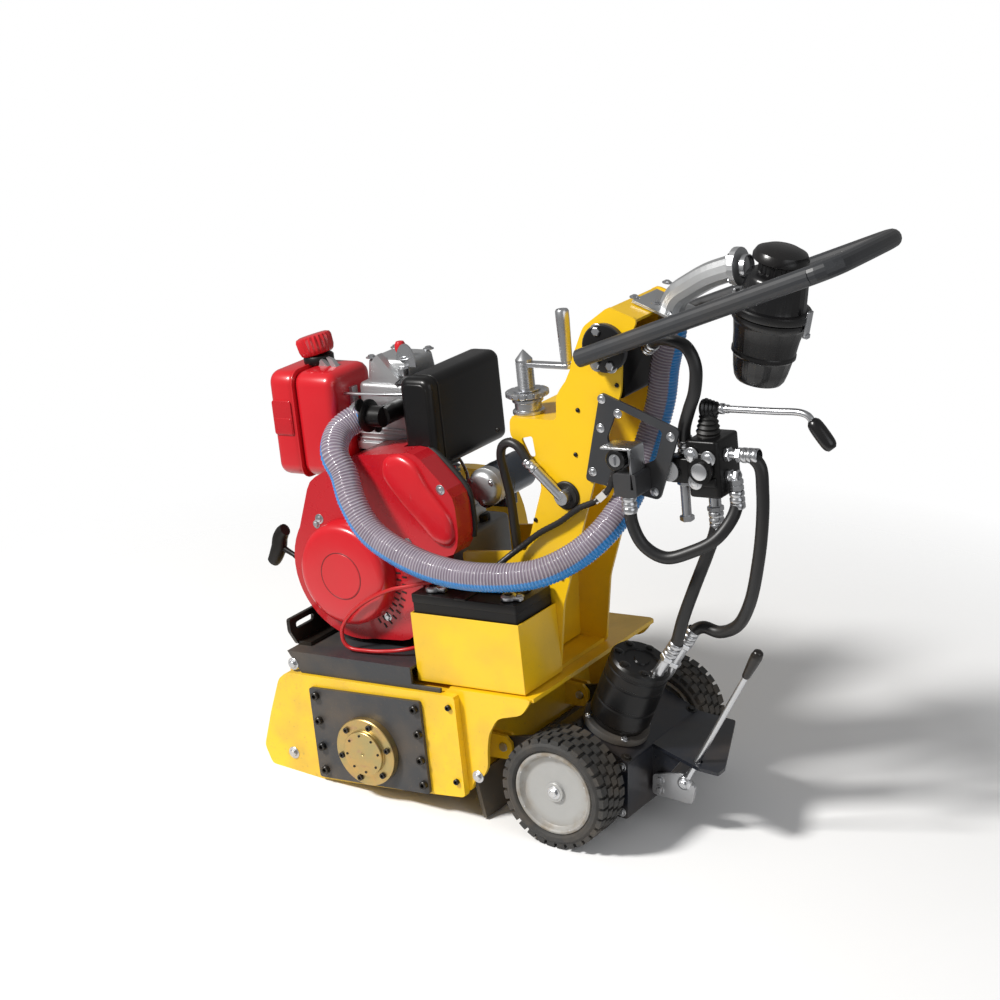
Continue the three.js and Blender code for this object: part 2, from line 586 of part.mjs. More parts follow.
function portFitting() {
  const mouth = [PORT_HOSE[0][0] + 0.4, -COLUMN_HALF - PORT_MOUTH_OUT, PORT_HOSE[0][2] - 0.6];
  return join(
    bar([PORT_X, -COLUMN_HALF + COLUMN_WALL, PORT_Z], [PORT_X, -COLUMN_HALF - PORT_OUT, PORT_Z], 14, 14, 16),
    bar([PORT_X, -COLUMN_HALF - PORT_OUT + 6, PORT_Z], mouth, 10, 10, 16),
    bar([PORT_X, -COLUMN_HALF - GAP, PORT_Z], [PORT_X, -COLUMN_HALF - 5, PORT_Z], 24),
  );
}

function hoses() {
  return [
    part('port_fitting', ZINC, portFitting()),
    part('port_hose', BLACK, tube(PORT_HOSE, PORT_HOSE_R, 26, 8)),
    part('battery_cable', RED, tube(BATTERY_CABLE, CABLE_R, 44, 6)),
    part('earth_cable', BLACK, tube(EARTH_CABLE, CABLE_R, 14, 6)),
    part('wiring_harness', BLACK, tube(HARNESS, HARNESS_R, 24, 6)),
    part('hose_lower_loop', BLACK, tube(LOWER_LOOP, HYD_R, 22, 8)),
    part('hose_upper_loop', BLACK, tube(UPPER_LOOP, HYD_R, 22, 8)),
    part('motor_hose_a', BLACK, tube(MOTOR_HOSE_A, HYD_R, 28, 8)),
    part('motor_hose_b', BLACK, tube(MOTOR_HOSE_B, HYD_R, 16, 8)),
  ];
}

// ---------------------------------------------------------------- depth crank
function depthCrank() {
  const shelf = SCREW_SHELF_Z;
  const bush = cut(
    bar([SCREW_X, SCREW_Y, shelf + GAP], [SCREW_X, SCREW_Y, shelf + 30], 30),
    bar([SCREW_X, SCREW_Y, shelf - 1], [SCREW_X, SCREW_Y, shelf + 40], SCREW_R + 1),
  );
  const end = SCREW_X + CRANK_ARM;
  const crank = join(
    bar([SCREW_X, SCREW_Y, shelf - 49], [SCREW_X, SCREW_Y, shelf + 103], SCREW_R),
    bar([SCREW_X, SCREW_Y, shelf + 34], [SCREW_X, SCREW_Y, shelf + 44], 42, 42, 40),
    bar([SCREW_X, SCREW_Y, shelf + 43], [SCREW_X, SCREW_Y, shelf + 105], 17, 17, 24),
    bar([SCREW_X, SCREW_Y, shelf + 104], [SCREW_X, SCREW_Y, shelf + 123], 17, 3, 24),
    box(SCREW_X, end + 8, SCREW_Y - 9, SCREW_Y + 9, shelf + 91, shelf + 100),
    bar([end, SCREW_Y, shelf + 93], [end, SCREW_Y, shelf + 105], 8, 8, 16),
    bar([end, SCREW_Y, shelf + 104], [end, SCREW_Y, shelf + 205], 11, 13, 20),
  );
  return [part('crank_bush', ZINC, bush), part('depth_crank', ZINC, crank)];
}

// ---------------------------------------------------------------- handlebar
function handlebar() {
  const angle = Math.atan2(HANDLE_RISE, HANDLE_REACH);
  const at = (distance, y) => [HANDLE_X + distance * Math.cos(angle), y, HANDLE_Z + distance * Math.sin(angle)];
  const length = Math.hypot(HANDLE_REACH, HANDLE_RISE);
  const start = length - HANDLE_BEND;
  const arm = (y) => bar(at(-34, y), at(start, y), HANDLE_R, HANDLE_R, 16);
  const corner = (side) => [
    at(start - 2, side * HANDLE_HALF),
    at(length - HANDLE_BEND * 0.55, side * (HANDLE_HALF - HANDLE_BEND * 0.1)),
    at(length - HANDLE_BEND * 0.1, side * (HANDLE_HALF - HANDLE_BEND * 0.55)),
    at(length, side * (HANDLE_HALF - HANDLE_BEND)),
  ];
  const loop = tube([...corner(-1), ...corner(1).reverse()], HANDLE_R, 24, 16);
  const pivots = [];
  for (const side of [-1, 1]) {
    const face = side * (COLUMN_HALF + GAP);
    pivots.push(bar([HANDLE_X, face, HANDLE_Z], [HANDLE_X, face + side * 9, HANDLE_Z], DISC_R, DISC_R, 36));
    pivots.push(bar([HANDLE_X, face, HANDLE_Z], [HANDLE_X, side * HANDLE_HALF, HANDLE_Z], 15, 15, 20));
  }
  return part('handlebar', DARK_GREY, join(arm(-HANDLE_HALF), arm(HANDLE_HALF), loop, ...pivots));
}

// ---------------------------------------------------------------- drive frame (in ground axes, from the axle)
// the pivot's place, from the axle
function pivotPoint() {
  const x = DRUM_X + PIVOT_X * Math.cos(PITCH) - PIVOT_Z * Math.sin(PITCH);
  const z = DRUM_Z + PIVOT_X * Math.sin(PITCH) + PIVOT_Z * Math.cos(PITCH);
  return [x - WHEEL_X, z - WHEEL_R];
}

function pivotPin(side) {
  const reach = side * (LINK_T / 2 + LUG_T + 4);
  const middle = side * PIVOT_Y;
  return bar([PIVOT_X, middle - reach, PIVOT_Z], [PIVOT_X, middle + reach, PIVOT_Z], PIN_R);
}

function driveFrame() {
  const [px, pz] = pivotPoint();
  const shell = slab([[108, -68], [105, 52], [-25, 99], [-68, 80], [-78, -50], [-58, -68]],
    -BOX_HALF, BOX_HALF, 5, 2);
  const bores = bar([0, -BOX_HALF - 5, 0], [0, BOX_HALF + 5, 0], AXLE_R + 1);
  const links = [];
  for (const side of [-1, 1]) {
    const y0 = side * PIVOT_Y - LINK_T / 2;
    links.push(cut(
      slab([[px - 18, pz - 14], [px - 18, pz + 14], [px + 4, pz + 19], [-50, 75], [-50, -10], [px + 4, pz - 19]],
        y0, y0 + LINK_T, 8),
      bar([px, y0 - 10, pz], [px, y0 + LINK_T + 10, pz], PIN_R + 1)));
  }
  const shelf = join(
    slabZ([[100, -40], [225, -84], [270, -84], [270, -56], [190, 138], [100, 138]], 45, 52, 6),
    slab([[104, -46], [112, -46], [176, 46], [104, 46]], -42, -34),
  );
  // the box's top slopes down to the rear, and the motor stands square on it
  const tilt = Math.atan2(99 - 52, 105 + 25);
  const along = (d) => [30 + Math.sin(tilt) * d, MOTOR_Y, 79.1 + Math.cos(tilt) * d];
  const flange = bar(along(GAP + 0.1), along(16), MOTOR_R + 6, MOTOR_R + 6, 32);
  const motor = bar(along(16 + GAP), along(16 + MOTOR_L), MOTOR_R, MOTOR_R, 40);
  const fitting = ([x, y, z]) => join(
    bar(along(MOTOR_L - 30), [x - FITTING_X, y, z - FITTING_Z], 14, 14, 16),
    bar([x - FITTING_X, y, z - FITTING_Z], [x, y, z], 13, 13, 16),
  );
  const leverFoot = [188, -62, 0];
  const leverTop = [304, -62, 228];
  const leverRoom = bar(leverFoot, leverTop, 9, 9, 16);
  const lever = join(
    bar(leverFoot, leverTop, 6, 6, 16),
    bar([300, -62, 220], [328, -62, 314], 12, 12, 20),
    bar([188, -72, 0], [188, -54 - GAP, 0], 9, 9, 16),
  );
  const bracket = slab([[112 + GAP, -48], [200, -48], [206, -10], [180, 14], [112 + GAP, -6]], -54, -46, 8);
  return [
    part('axle_box', DARK_GREY, cut(join(shell, ...links, shelf), bores, leverRoom)),
    part('motor_flange', CAST, flange),
    part('drive_motor', BLACK, join(motor, fitting(PORT_A), fitting(PORT_B))),
    part('clutch_lever', ZINC, lever),
    part('lever_bracket', ZINC, bracket),
  ];
}

function wheel(side) {
  const outer = side * WHEEL_OUT;
  const inner = side * (WHEEL_OUT - WHEEL_W);
  const lo = Math.min(outer, inner);
  const hi = Math.max(outer, inner);
  const seat = RIM_R + GAP;
  const tyre = turned([[seat, lo + 6], [RIM_R + 16, lo], [WHEEL_R - 8, lo + 5], [WHEEL_R, lo + 16],
    [WHEEL_R, hi - 16], [WHEEL_R - 8, hi - 5], [RIM_R + 16, hi], [seat, hi - 6], [seat, lo + 6]], 0, 0, 40);
  const rim = turned([[0, lo + 12], [24, lo + 12], [26, lo + 18], [RIM_R - 12, lo + 18],
    [RIM_R, lo + 8], [RIM_R, hi - 8], [RIM_R - 12, hi - 18], [26, hi - 18],
    [24, hi - 12], [0, hi - 12]], 0, 0, 40);
  const axle = bar([0, side * (WHEEL_OUT - 20), 0], [0, side * (BOX_HALF - 40), 0], AXLE_R);
  return [tyre, join(rim, axle)];
}

function drum() {
  const half = DRUM_LENGTH / 2;
  const profile = [[0, -half], [48, -half], [48, -half + 6]];
  const rings = 6;
  for (let i = 0; i < rings; i += 1) {
    const y = -half + 16 + (i + 0.5) * (DRUM_LENGTH - 32) / rings;
    profile.push([48, y - 22], [DRUM_R, y - 14], [DRUM_R, y + 14], [48, y + 22]);
  }
  profile.push([48, half], [0, half]);
  const body = turned(profile, AXIS_X, AXIS_Z, 24);
  const end = FRAME_HALF + 12;
  const shaft = bar([AXIS_X, -end, AXIS_Z], [AXIS_X, end, AXIS_Z], SHAFT_R, SHAFT_R, 24);
  return part('milling_drum', CAST, join(body, shaft));
}

// ---------------------------------------------------------------- assembly
const machine = new THREE.Group();
const body = new THREE.Group();
body.position.set(DRUM_X, 0, DRUM_Z);
body.rotation.y = -PITCH;
machine.add(body);

body.add(mainFrame());
body.add(sideCover('side_cover_left', -FRAME_HALF - GAP - COVER_T, -FRAME_HALF - GAP));
body.add(sideCover('side_cover_right', FRAME_HALF + GAP, FRAME_HALF + GAP + COVER_T));
body.add(...bearing(-1, ['bearing_plate_left', 'bearing_flange_left']));
body.add(beltGuard());
body.add(rearSkirt());
body.add(part('pivot_pin_left', ZINC, pivotPin(-1)));
body.add(part('pivot_pin_right', ZINC, pivotPin(1)));
body.add(engineBase());
body.add(frontBracket());
body.add(column());
body.add(...engine());
body.add(...battery());
body.add(...intake());
body.add(...controls());
body.add(...hoses());
body.add(...depthCrank());
body.add(handlebar());
body.add(drum());

const drive = new THREE.Group();
drive.position.set(WHEEL_X, 0, WHEEL_R);
machine.add(drive);
drive.add(...driveFrame());
for (const [side, label] of [[-1, 'left'], [1, 'right']]) {
  const [tyre, rim] = wheel(side);
  drive.add(part(`tyre_${label}`, RUBBER, tyre));
  drive.add(part(`wheel_rim_${label}`, RIM_GREY, rim));
}

export default machine;
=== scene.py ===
import json
import math

import bmesh
import bpy
import numpy as np
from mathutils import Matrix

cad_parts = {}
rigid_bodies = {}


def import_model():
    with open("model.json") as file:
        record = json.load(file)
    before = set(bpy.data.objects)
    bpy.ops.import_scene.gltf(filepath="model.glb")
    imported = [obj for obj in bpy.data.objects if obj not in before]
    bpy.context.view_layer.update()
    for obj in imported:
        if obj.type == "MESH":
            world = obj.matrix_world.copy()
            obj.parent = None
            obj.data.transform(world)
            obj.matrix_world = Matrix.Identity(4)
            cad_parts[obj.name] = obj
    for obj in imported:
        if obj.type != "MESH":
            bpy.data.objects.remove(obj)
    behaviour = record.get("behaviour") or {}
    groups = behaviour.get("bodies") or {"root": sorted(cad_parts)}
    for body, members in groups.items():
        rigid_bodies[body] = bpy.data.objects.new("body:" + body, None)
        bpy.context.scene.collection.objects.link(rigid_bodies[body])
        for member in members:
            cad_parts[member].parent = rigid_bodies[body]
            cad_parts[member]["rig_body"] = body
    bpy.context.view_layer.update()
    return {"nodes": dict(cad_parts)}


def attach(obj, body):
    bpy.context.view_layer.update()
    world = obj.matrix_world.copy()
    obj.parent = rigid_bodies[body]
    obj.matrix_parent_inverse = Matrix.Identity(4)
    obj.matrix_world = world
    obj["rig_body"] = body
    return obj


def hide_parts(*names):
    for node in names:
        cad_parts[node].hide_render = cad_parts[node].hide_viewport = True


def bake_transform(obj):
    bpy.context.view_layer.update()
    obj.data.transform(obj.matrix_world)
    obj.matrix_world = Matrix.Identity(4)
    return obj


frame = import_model()

# ---------------------------------------------------------------- camera and studio
# A portrait lens on a plain white floor, one soft key light over the machine's left shoulder,
# a weak fill from the rear, and a white surround.


def add_to_scene(made):
    bpy.context.scene.collection.objects.link(made)


CAMERA_PLACE = (2.2614, -3.6820, 2.2164)
CAMERA_AZIMUTH = 33.12
CAMERA_HEIGHT_ANGLE = 20.44
LENS_MM = 85.64
AMBIENT = 0.26                  # the surround's strength for all but camera and clear rays
FLOOR_FADE = (1.9, 0.9)         # metres out at which the floor is gone, and at which it begins to go
camera_data = bpy.data.cameras.new("camera")
camera = bpy.data.objects.new("camera", camera_data)
add_to_scene(camera)
camera.location = CAMERA_PLACE
camera.rotation_euler = (math.radians(90 - CAMERA_HEIGHT_ANGLE), 0, math.radians(CAMERA_AZIMUTH))
camera_data.lens = LENS_MM
camera_data.sensor_width = 36
camera_data.clip_end = 60
bpy.context.scene.camera = camera
bpy.context.scene.view_settings.view_transform = "Standard"


class Val:
    """One value in a shader tree, which adds and multiplies as a number does."""

    def __init__(self, tree, out):
        self.tree, self.out = tree, out

    def math(self, kind, other=0.0, swap=False, clamp=False):
        node = self.tree.nodes.new("ShaderNodeMath")
        node.operation, node.use_clamp = kind, clamp
        for socket, value in zip(node.inputs, (other, self) if swap else (self, other)):
            if isinstance(value, Val):
                self.tree.links.new(value.out, socket)
            else:
                socket.default_value = value
        return Val(self.tree, node.outputs[0])

    def __add__(self, other): return self.math("ADD", other)
    def __radd__(self, other): return self.math("ADD", other, True)
    def __sub__(self, other): return self.math("SUBTRACT", other)
    def __rsub__(self, other): return self.math("SUBTRACT", other, True)
    def __mul__(self, other): return self.math("MULTIPLY", other)
    def __rmul__(self, other): return self.math("MULTIPLY", other, True)
    def __truediv__(self, other): return self.math("DIVIDE", other)
    def __rtruediv__(self, other): return self.math("DIVIDE", other, True)
    def __pow__(self, other): return self.math("POWER", other)

    def ramp(self, low, high):
        """0 at low, 1 at high, held outside."""
        return ((self - low) * (1 / (high - low))).math("ADD", 0.0, clamp=True)


class Look:
    """A procedural material: a Principled shader, and the values that feed it."""

    def __init__(self, name, **fixed):
        self.material = bpy.data.materials.new(name)
        self.material.use_nodes = True
        self.tree = self.material.node_tree
        self.shader = self.tree.nodes["Principled BSDF"]
        for socket, value in fixed.items():
            self.shader.inputs[socket.replace("_", " ")].default_value = value
        place = self.node("ShaderNodeTexCoord", out="Object")
        self.place = self.node("ShaderNodeMapping", inputs={"Vector": place})
        apart = self.node("ShaderNodeSeparateXYZ", inputs={"Vector": place}, out=None)
        self.x, self.y, self.z = (Val(self.tree, apart.outputs[i]) for i in range(3))

    def node(self, kind, settings=None, inputs=None, out=0):
        node = self.tree.nodes.new(kind)
        for key, value in (settings or {}).items():
            setattr(node, key, value)
        for key, value in (inputs or {}).items():
            if isinstance(value, Val):
                self.tree.links.new(value.out, node.inputs[key])
            else:
                node.inputs[key].default_value = value
        return node if out is None else Val(self.tree, node.outputs[out])

    def noise(self, scale, detail=3.0):
        return self.node("ShaderNodeTexNoise", inputs={
            "Vector": self.place, "Scale": scale, "Detail": detail})

    def mix(self, share, first, second):
        return self.node("ShaderNodeMix", {"data_type": "RGBA"}, {0: share, 6: first, 7: second}, 2)

    def feed(self, socket, value):
        self.tree.links.new(value.out, self.shader.inputs[socket])

    def bump(self, height, depth):
        self.feed("Normal", self.node("ShaderNodeBump", inputs={"Height": height, "Distance": depth}))


def rgba(red, green, blue):
    return (red, green, blue, 1.0)


def area_light(name, place, aim, size, power, colour):
    data = bpy.data.lights.new(name, "AREA")
    data.shape, data.size, data.energy, data.color = "DISK", size, power, colour
    light = bpy.data.objects.new(name, data)
    add_to_scene(light)
    light.location = place
    toward = np.array(aim) - np.array(place)
    flat = math.hypot(toward[0], toward[1])
    light.rotation_euler = (math.atan2(flat, -toward[2]), 0, math.atan2(toward[1], toward[0]) - math.pi / 2)


area_light("key", (-2.4, -3.4, 4.2), (0, 0, 0.4), 1.0, 390, (1.0, 0.985, 0.96))
area_light("fill", (3.6, -1.2, 2.2), (0, 0, 0.5), 3.0, 30, (0.95, 0.97, 1.0))

world = bpy.data.worlds.new("surround")
bpy.context.scene.world = world
world.use_nodes = True
rays = world.node_tree.nodes.new("ShaderNodeLightPath")
seen = (Val(world.node_tree, rays.outputs["Is Camera Ray"])
        + Val(world.node_tree, rays.outputs["Is Transmission Ray"]))
seen = seen.math("ADD", 0.0, clamp=True)
sky = world.node_tree.nodes["Background"]
sky.inputs["Color"].default_value = rgba(1, 1, 1)
world.node_tree.links.new((seen * (1 - AMBIENT) + AMBIENT).out, sky.inputs["Strength"])

floor_mesh = bpy.data.meshes.new("floor")
floor_mesh.from_pydata([(-9, -9, 0), (9, -9, 0), (9, 9, 0), (-9, 9, 0)], [], [(0, 1, 2, 3)])
floor = bpy.data.objects.new("floor", floor_mesh)
add_to_scene(floor)
floor_look = Look("floor_white", Roughness=0.9, Specular_IOR_Level=0.0)
away = (floor_look.x ** 2 + floor_look.y ** 2) ** 0.5
floor_look.feed("Alpha", away.ramp(*FLOOR_FADE))
floor_look.feed("Base Color", floor_look.mix(floor_look.noise(3.0), rgba(0.93, 0.93, 0.93),
                                             rgba(0.95, 0.95, 0.95)))
floor_mesh.materials.append(floor_look.material)

# ---------------------------------------------------------------- painted sheet-metal of the body
# The frame, covers, column, belt guard and battery box are folded steel plate in glossy yellow.
# Every edge is slightly rounded, and road dust lies on the paint, most of it low down.
DUST = (0.19, 0.135, 0.08)
DARKER = 0.86                   # share of its colour that the darker patches of paint keep


def dust(look, colour, amount=0.55, top=0.55):
    """The paint's colour with brown dust over it, more of it near the ground and in soft patches."""
    low = look.z.ramp(top, 0.0)
    patch = look.noise(9.0, 6.0).ramp(0.42, 0.72)
    speck = look.noise(160.0, 2.0).ramp(0.62, 0.72)
    share = (patch * (low * 0.8 + 0.12) + speck * (low * 0.35 + 0.04)) * amount
    return look.mix(share, colour, rgba(*DUST)), share


def paint(name, colour, roughness, amount=0.55, top=0.55, grain=0.00006, **fixed):
    """Sprayed paint: a slight change of tone from place to place, orange peel, and dust."""
    look = Look(name, **fixed)
    darker = tuple(c * DARKER for c in colour)
    tone = look.mix(look.noise(5.0), rgba(*darker), rgba(*colour))
    dusty, share = dust(look, tone, amount, top)
    look.feed("Base Color", dusty)
    look.feed("Roughness", look.noise(40.0) * 0.1 + (roughness - 0.05) + share * 0.45)
    look.bump(look.noise(420.0, 2.0), grain)
    return look


BEVEL_ANGLE = 34                # edges sharper than this many degrees are rounded


def dress(look, bevel, *names):
    """Gives CAD nodes a material and rounded edges."""
    for name in names:
        node = frame["nodes"][name]
        for slot in node.material_slots:
            slot.material = look.material
        if bevel:
            weld = node.modifiers.new("weld", "WELD")
            weld.merge_threshold = 0.00002
            edge = node.modifiers.new("edge", "BEVEL")
            edge.width, edge.segments, edge.limit_method = bevel, 2, "ANGLE"
            edge.angle_limit = math.radians(BEVEL_ANGLE)
            edge.harden_normals = True


yellow = paint("yellow_gloss", (0.93, 0.57, 0.008), 0.3, Coat_Weight=0.25, Coat_Roughness=0.12)
dress(yellow, 0.0012, "main_frame", "side_cover_left", "side_cover_right", "column", "battery_box")
dress(yellow, 0.003, "belt_guard")
dark = paint("dark_grey_paint", (0.034, 0.036, 0.04), 0.38, 0.5)
dress(dark, 0.0012, "bearing_plate_left", "engine_base", "control_bracket", "hose_bulkhead")
blue_black = paint("blue_black_paint", (0.011, 0.013, 0.019), 0.3, 0.28)
dress(blue_black, 0.0012, "axle_box")
dress(dark, 0.0, "handlebar")
black = paint("black_paint", (0.005, 0.005, 0.0055), 0.32, 0.18, Specular_IOR_Level=0.35)
dress(black, 0.001, "front_bracket", "silencer", "drive_motor", "valve_block", "intake_flange")
red = paint("red_paint", (0.49, 0.008, 0.016), 0.28, 0.25, Coat_Weight=0.3, Coat_Roughness=0.1)
dress(red, 0.006, "engine_shroud", "fuel_tank")
dress(red, 0.002, "recoil_starter", "fuel_cap")
iron = paint("cast_iron", (0.09, 0.088, 0.085), 0.6, 0.6, grain=0.0003, Metallic=0.4)
dress(iron, 0.001, "engine_block", "milling_drum", "motor_flange")
cast = paint("cast_aluminium", (0.55, 0.56, 0.57), 0.42, 0.3, grain=0.0002, Metallic=0.85)
dress(cast, 0.002, "cylinder_head", "starter_motor", "intake_elbow")
zinc = paint("zinc_plate", (0.62, 0.63, 0.65), 0.28, 0.25, grain=0.00002, Metallic=0.95)
dress(zinc, 0.0006, "valve_lever", "key_switch", "crank_bush", "depth_crank", "clutch_lever",
      "lever_bracket", "pivot_pin_left", "pivot_pin_right", "port_fitting")
plastic = paint("black_plastic", (0.004, 0.004, 0.0045), 0.4, 0.12, grain=0.0001, Specular_IOR_Level=0.3)
dress(plastic, 0.003, "battery", "starter_grip", "control_box")
dress(plastic, 0.0, "air_cleaner", "cleaner_cup")
rubber = paint("rubber", (0.009, 0.009, 0.009), 0.5, 0.45, grain=0.0001)
dress(rubber, 0.0, "hose_lower_loop", "hose_upper_loop", "motor_hose_a", "motor_hose_b")
skirt_look = paint("dusty_skirt", (0.11, 0.092, 0.07), 0.75, 1.2, top=0.9, grain=0.0003)
dress(skirt_look, 0.0, "rear_skirt")
tyre_rubber = paint("tyre_rubber", (0.014, 0.0135, 0.013), 0.7, 0.8, top=0.4, grain=0.0002)
dress(tyre_rubber, 0.0, "tyre_left", "tyre_right")
rim = paint("rim_paint", (0.42, 0.42, 0.4), 0.42, 0.8, top=0.5, Metallic=0.3)
dress(rim, 0.001, "wheel_rim_left", "wheel_rim_right")
clear = paint("clear_hose", (0.5, 0.47, 0.46), 0.2)
dress(clear, 0.0, "intake_hose")

# ---------------------------------------------------------------- drum cover bolts
# Eight black socket screws hold the dark bearing plate to the left drum cover, with washered
# hexagon screws at the cover's corners. A screw is a turned head with a hexagonal recess.
PITCH = math.radians(7)
DRUM = (-0.292, 0.089)          # origin of the body's axes, X and Z in metres
AXLE = (0.136, 0, 0.113)        # middle of the drive axle


def chassis(points):
    """Points in the nose-down axes of the body, in millimetres, as points of the frame in metres."""
    p = np.asarray(points, float) / 1000
    x = DRUM[0] + p[..., 0] * math.cos(PITCH) - p[..., 2] * math.sin(PITCH)
    z = DRUM[1] + p[..., 0] * math.sin(PITCH) + p[..., 2] * math.cos(PITCH)
    return np.stack([x, p[..., 1], z], -1)


def ground(points):
    """Points in level axes, in millimetres from the drive axle, as points of the frame in metres."""
    return np.asarray(points, float) / 1000 + AXLE


def grid(rows):
    """The quads of a grid of points, (rows, columns, 3), closed across its rows; a row whose
    points all meet becomes triangles round one point."""
    count, width = rows.shape[:2]
    index = np.arange(count * width).reshape(count, width)
    for k in range(count):
        if np.ptp(rows[k], 0).max() < 1e-7:
            index[k] = index[k, 0]
    index = np.hstack([index, index[:, :1]])
    quads = np.stack([index[:-1, :-1], index[:-1, 1:], index[1:, 1:], index[1:, :-1]], -1).reshape(-1, 4)
    return rows.reshape(-1, 3), [list(dict.fromkeys(q)) for q in quads.tolist() if len(set(q)) > 2]


def basis(axis):
    """Two unit vectors square to an axis, and the axis."""
    w = np.asarray(axis, float) / np.linalg.norm(axis)
    u = np.cross(w, (0, 0, 1) if abs(w[2]) < 0.9 else (1, 0, 0))
    u /= np.linalg.norm(u)
    return u, np.cross(w, u), w


def turn(profile, centre, axis, sides=32, phase=0.0):
    """A profile of (radius, height) pairs turned round an axis through centre."""
    profile = np.asarray(profile, float)
    u, v, w = basis(axis)
    angle = np.arange(sides) * 2 * math.pi / sides + phase
    ring = np.cos(angle)[:, None] * u + np.sin(angle)[:, None] * v
    rows = np.asarray(centre, float) + profile[:, :1, None] * ring[None] + profile[:, 1:, None] * w
    return grid(rows)


def sweep(path, radius, sides=16):
    """A closed round section carried along a path; radius is one number or one for each point."""
    path = np.asarray(path, float)
    ahead = np.gradient(path, axis=0)
    ahead /= np.linalg.norm(ahead, axis=1)[:, None]
    side = np.empty_like(path)
    side[0] = basis(ahead[0])[0]
    for k in range(1, len(path)):
        step = side[k - 1] - ahead[k] * (side[k - 1] @ ahead[k])
        side[k] = step / np.linalg.norm(step)
    up = np.cross(ahead, side)
    angle = np.arange(sides) * 2 * math.pi / sides
    size = np.broadcast_to(np.asarray(radius, float), len(path))[:, None, None]
    rows = path[:, None] + size * (np.cos(angle)[None, :, None] * side[:, None]
                                   + np.sin(angle)[None, :, None] * up[:, None])
    return grid(np.concatenate([np.repeat(path[:1, None], sides, 1), rows,
                                np.repeat(path[-1:, None], sides, 1)]))


def curve(points, count):
    """A smooth curve of count evenly spread points through some points."""
    p = np.asarray(points, float)
    knots = np.concatenate([[0], np.cumsum(np.linalg.norm(np.diff(p, axis=0), axis=1) ** 0.5)])
    slope = np.gradient(p, knots, axis=0)
    t = np.linspace(0, knots[-1], count * 6)
    k = np.clip(np.searchsorted(knots, t, "right") - 1, 0, len(p) - 2)
    h = (knots[k + 1] - knots[k])[:, None]
    s = (t - knots[k])[:, None] / h
    fine = ((2 * s**3 - 3 * s**2 + 1) * p[k] + (s**3 - 2 * s**2 + s) * h * slope[k]
            + (3 * s**2 - 2 * s**3) * p[k + 1] + (s**3 - s**2) * h * slope[k + 1])
    run = np.concatenate([[0], np.cumsum(np.linalg.norm(np.diff(fine, axis=0), axis=1))])
    even = np.linspace(0, run[-1], count)
    return np.stack([np.interp(even, run, fine[:, i]) for i in range(3)], -1)


def piece(name, parts, body, stands_for=(), sharp=40):
    """One named object from several shapes, each (points, faces, look)."""
    points, faces, index, looks = [], [], [], []
    base = 0
    for shape, shape_faces, look in parts:
        if look not in looks:
            looks.append(look)
        points.append(shape)
        faces += [[base + i for i in face] for face in shape_faces]
        index += [looks.index(look)] * len(shape_faces)
        base += len(shape)
    mesh = bpy.data.meshes.new(name)
    mesh.from_pydata(np.concatenate(points).tolist(), [], faces)
    mesh.polygons.foreach_set("material_index", index)
    mesh.polygons.foreach_set("use_smooth", [True] * len(faces))
    for look in looks:
        mesh.materials.append(look.material)
    mesh.validate()
    shell = bmesh.new()
    shell.from_mesh(mesh)
    bmesh.ops.recalc_face_normals(shell, faces=shell.faces)
    shell.to_mesh(mesh)
    shell.free()
    made = bpy.data.objects.new(name, mesh)
    add_to_scene(made)
    clean = made.modifiers.new("clean", "WELD")
    clean.merge_threshold = 0.000001
    mesh.set_sharp_from_angle(angle=math.radians(sharp))
    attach(made, body)
    if stands_for:
        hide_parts(*stands_for)
    return made


def tinted(parts, look):
    return [(points, faces, look) for points, faces in parts]


def solid(profile, centre, axis, sides=32, phase=0.0):
    """A turned solid with flat ends, from the rest of its profile."""
    return turn([(0, 0), *profile, (0, profile[-1][1])], centre, axis, sides, phase)


def screws(places, axis, size, height=None, kind="socket"):
    """Screw heads at some places: a knurled socket head, a hexagon on a washer, or a small pan head.
    size is the head's radius."""
    tall = height or size
    if kind == "socket":
        profile = [(0, 0.35), (0.5, 0.35), (0.52, 1.0), (0.86, 1.0), (1.0, 0.88), (1.0, 0), (1.0, -0.2)]
        sides = 18
    elif kind == "hex":
        profile = [(0, 0.82), (0.8, 0.82), (0.98, 0.68), (1.0, 0.14), (1.0, -0.2)]
        sides = 6
    else:
        profile = [(0, 0.7), (0.2, 0.7), (0.25, 0.95), (0.7, 0.8), (1.0, 0.3), (1.0, -0.2)]
        sides = 14
    shape = [(r * size, h * tall) for r, h in profile]
    made = [turn(shape, place, axis, sides) for place in places]
    if kind == "hex":
        washer = [(0, 0.1), (1.5, 0.16), (1.6, 0.08), (1.6, -0.2)]
        made += [turn([(r * size, h * tall) for r, h in washer], place, axis, 20) for place in places]
    return made


black_oxide = paint("black_oxide", (0.012, 0.012, 0.012), 0.32, 0.3, Metallic=0.4)
LEFT = (0, -1, 0)


def on_face(y, *spots):
    """Places on an upright face: its y, and the (x, z) of each place."""
    return np.array([(x, y, z) for x, z in spots], float)


PLATE_FACE = -261.9
COVER_FACE = -253.6
plate_screws = on_face(PLATE_FACE, (-104, 112), (-103, 59), (-103, 3), (-102, -47), (139, 115), (142, 63),
                       (141, 8), (141, -44))
cover_screws = [(-189, -253.6, -27), (254, -236.1, -21), (-167, -245.1, 166)]
piece("drum_cover_screws", tinted(screws(chassis(plate_screws), LEFT, 0.0085, 0.009), black_oxide)
      + tinted(screws(chassis(on_face(COVER_FACE, (215, 125), (215, -30))), LEFT, 0.006, 0.006), black_oxide),
      "body")
piece("cover_bolts", tinted(screws(chassis(cover_screws), LEFT, 0.008, 0.008, "hex"), zinc),
      "body")

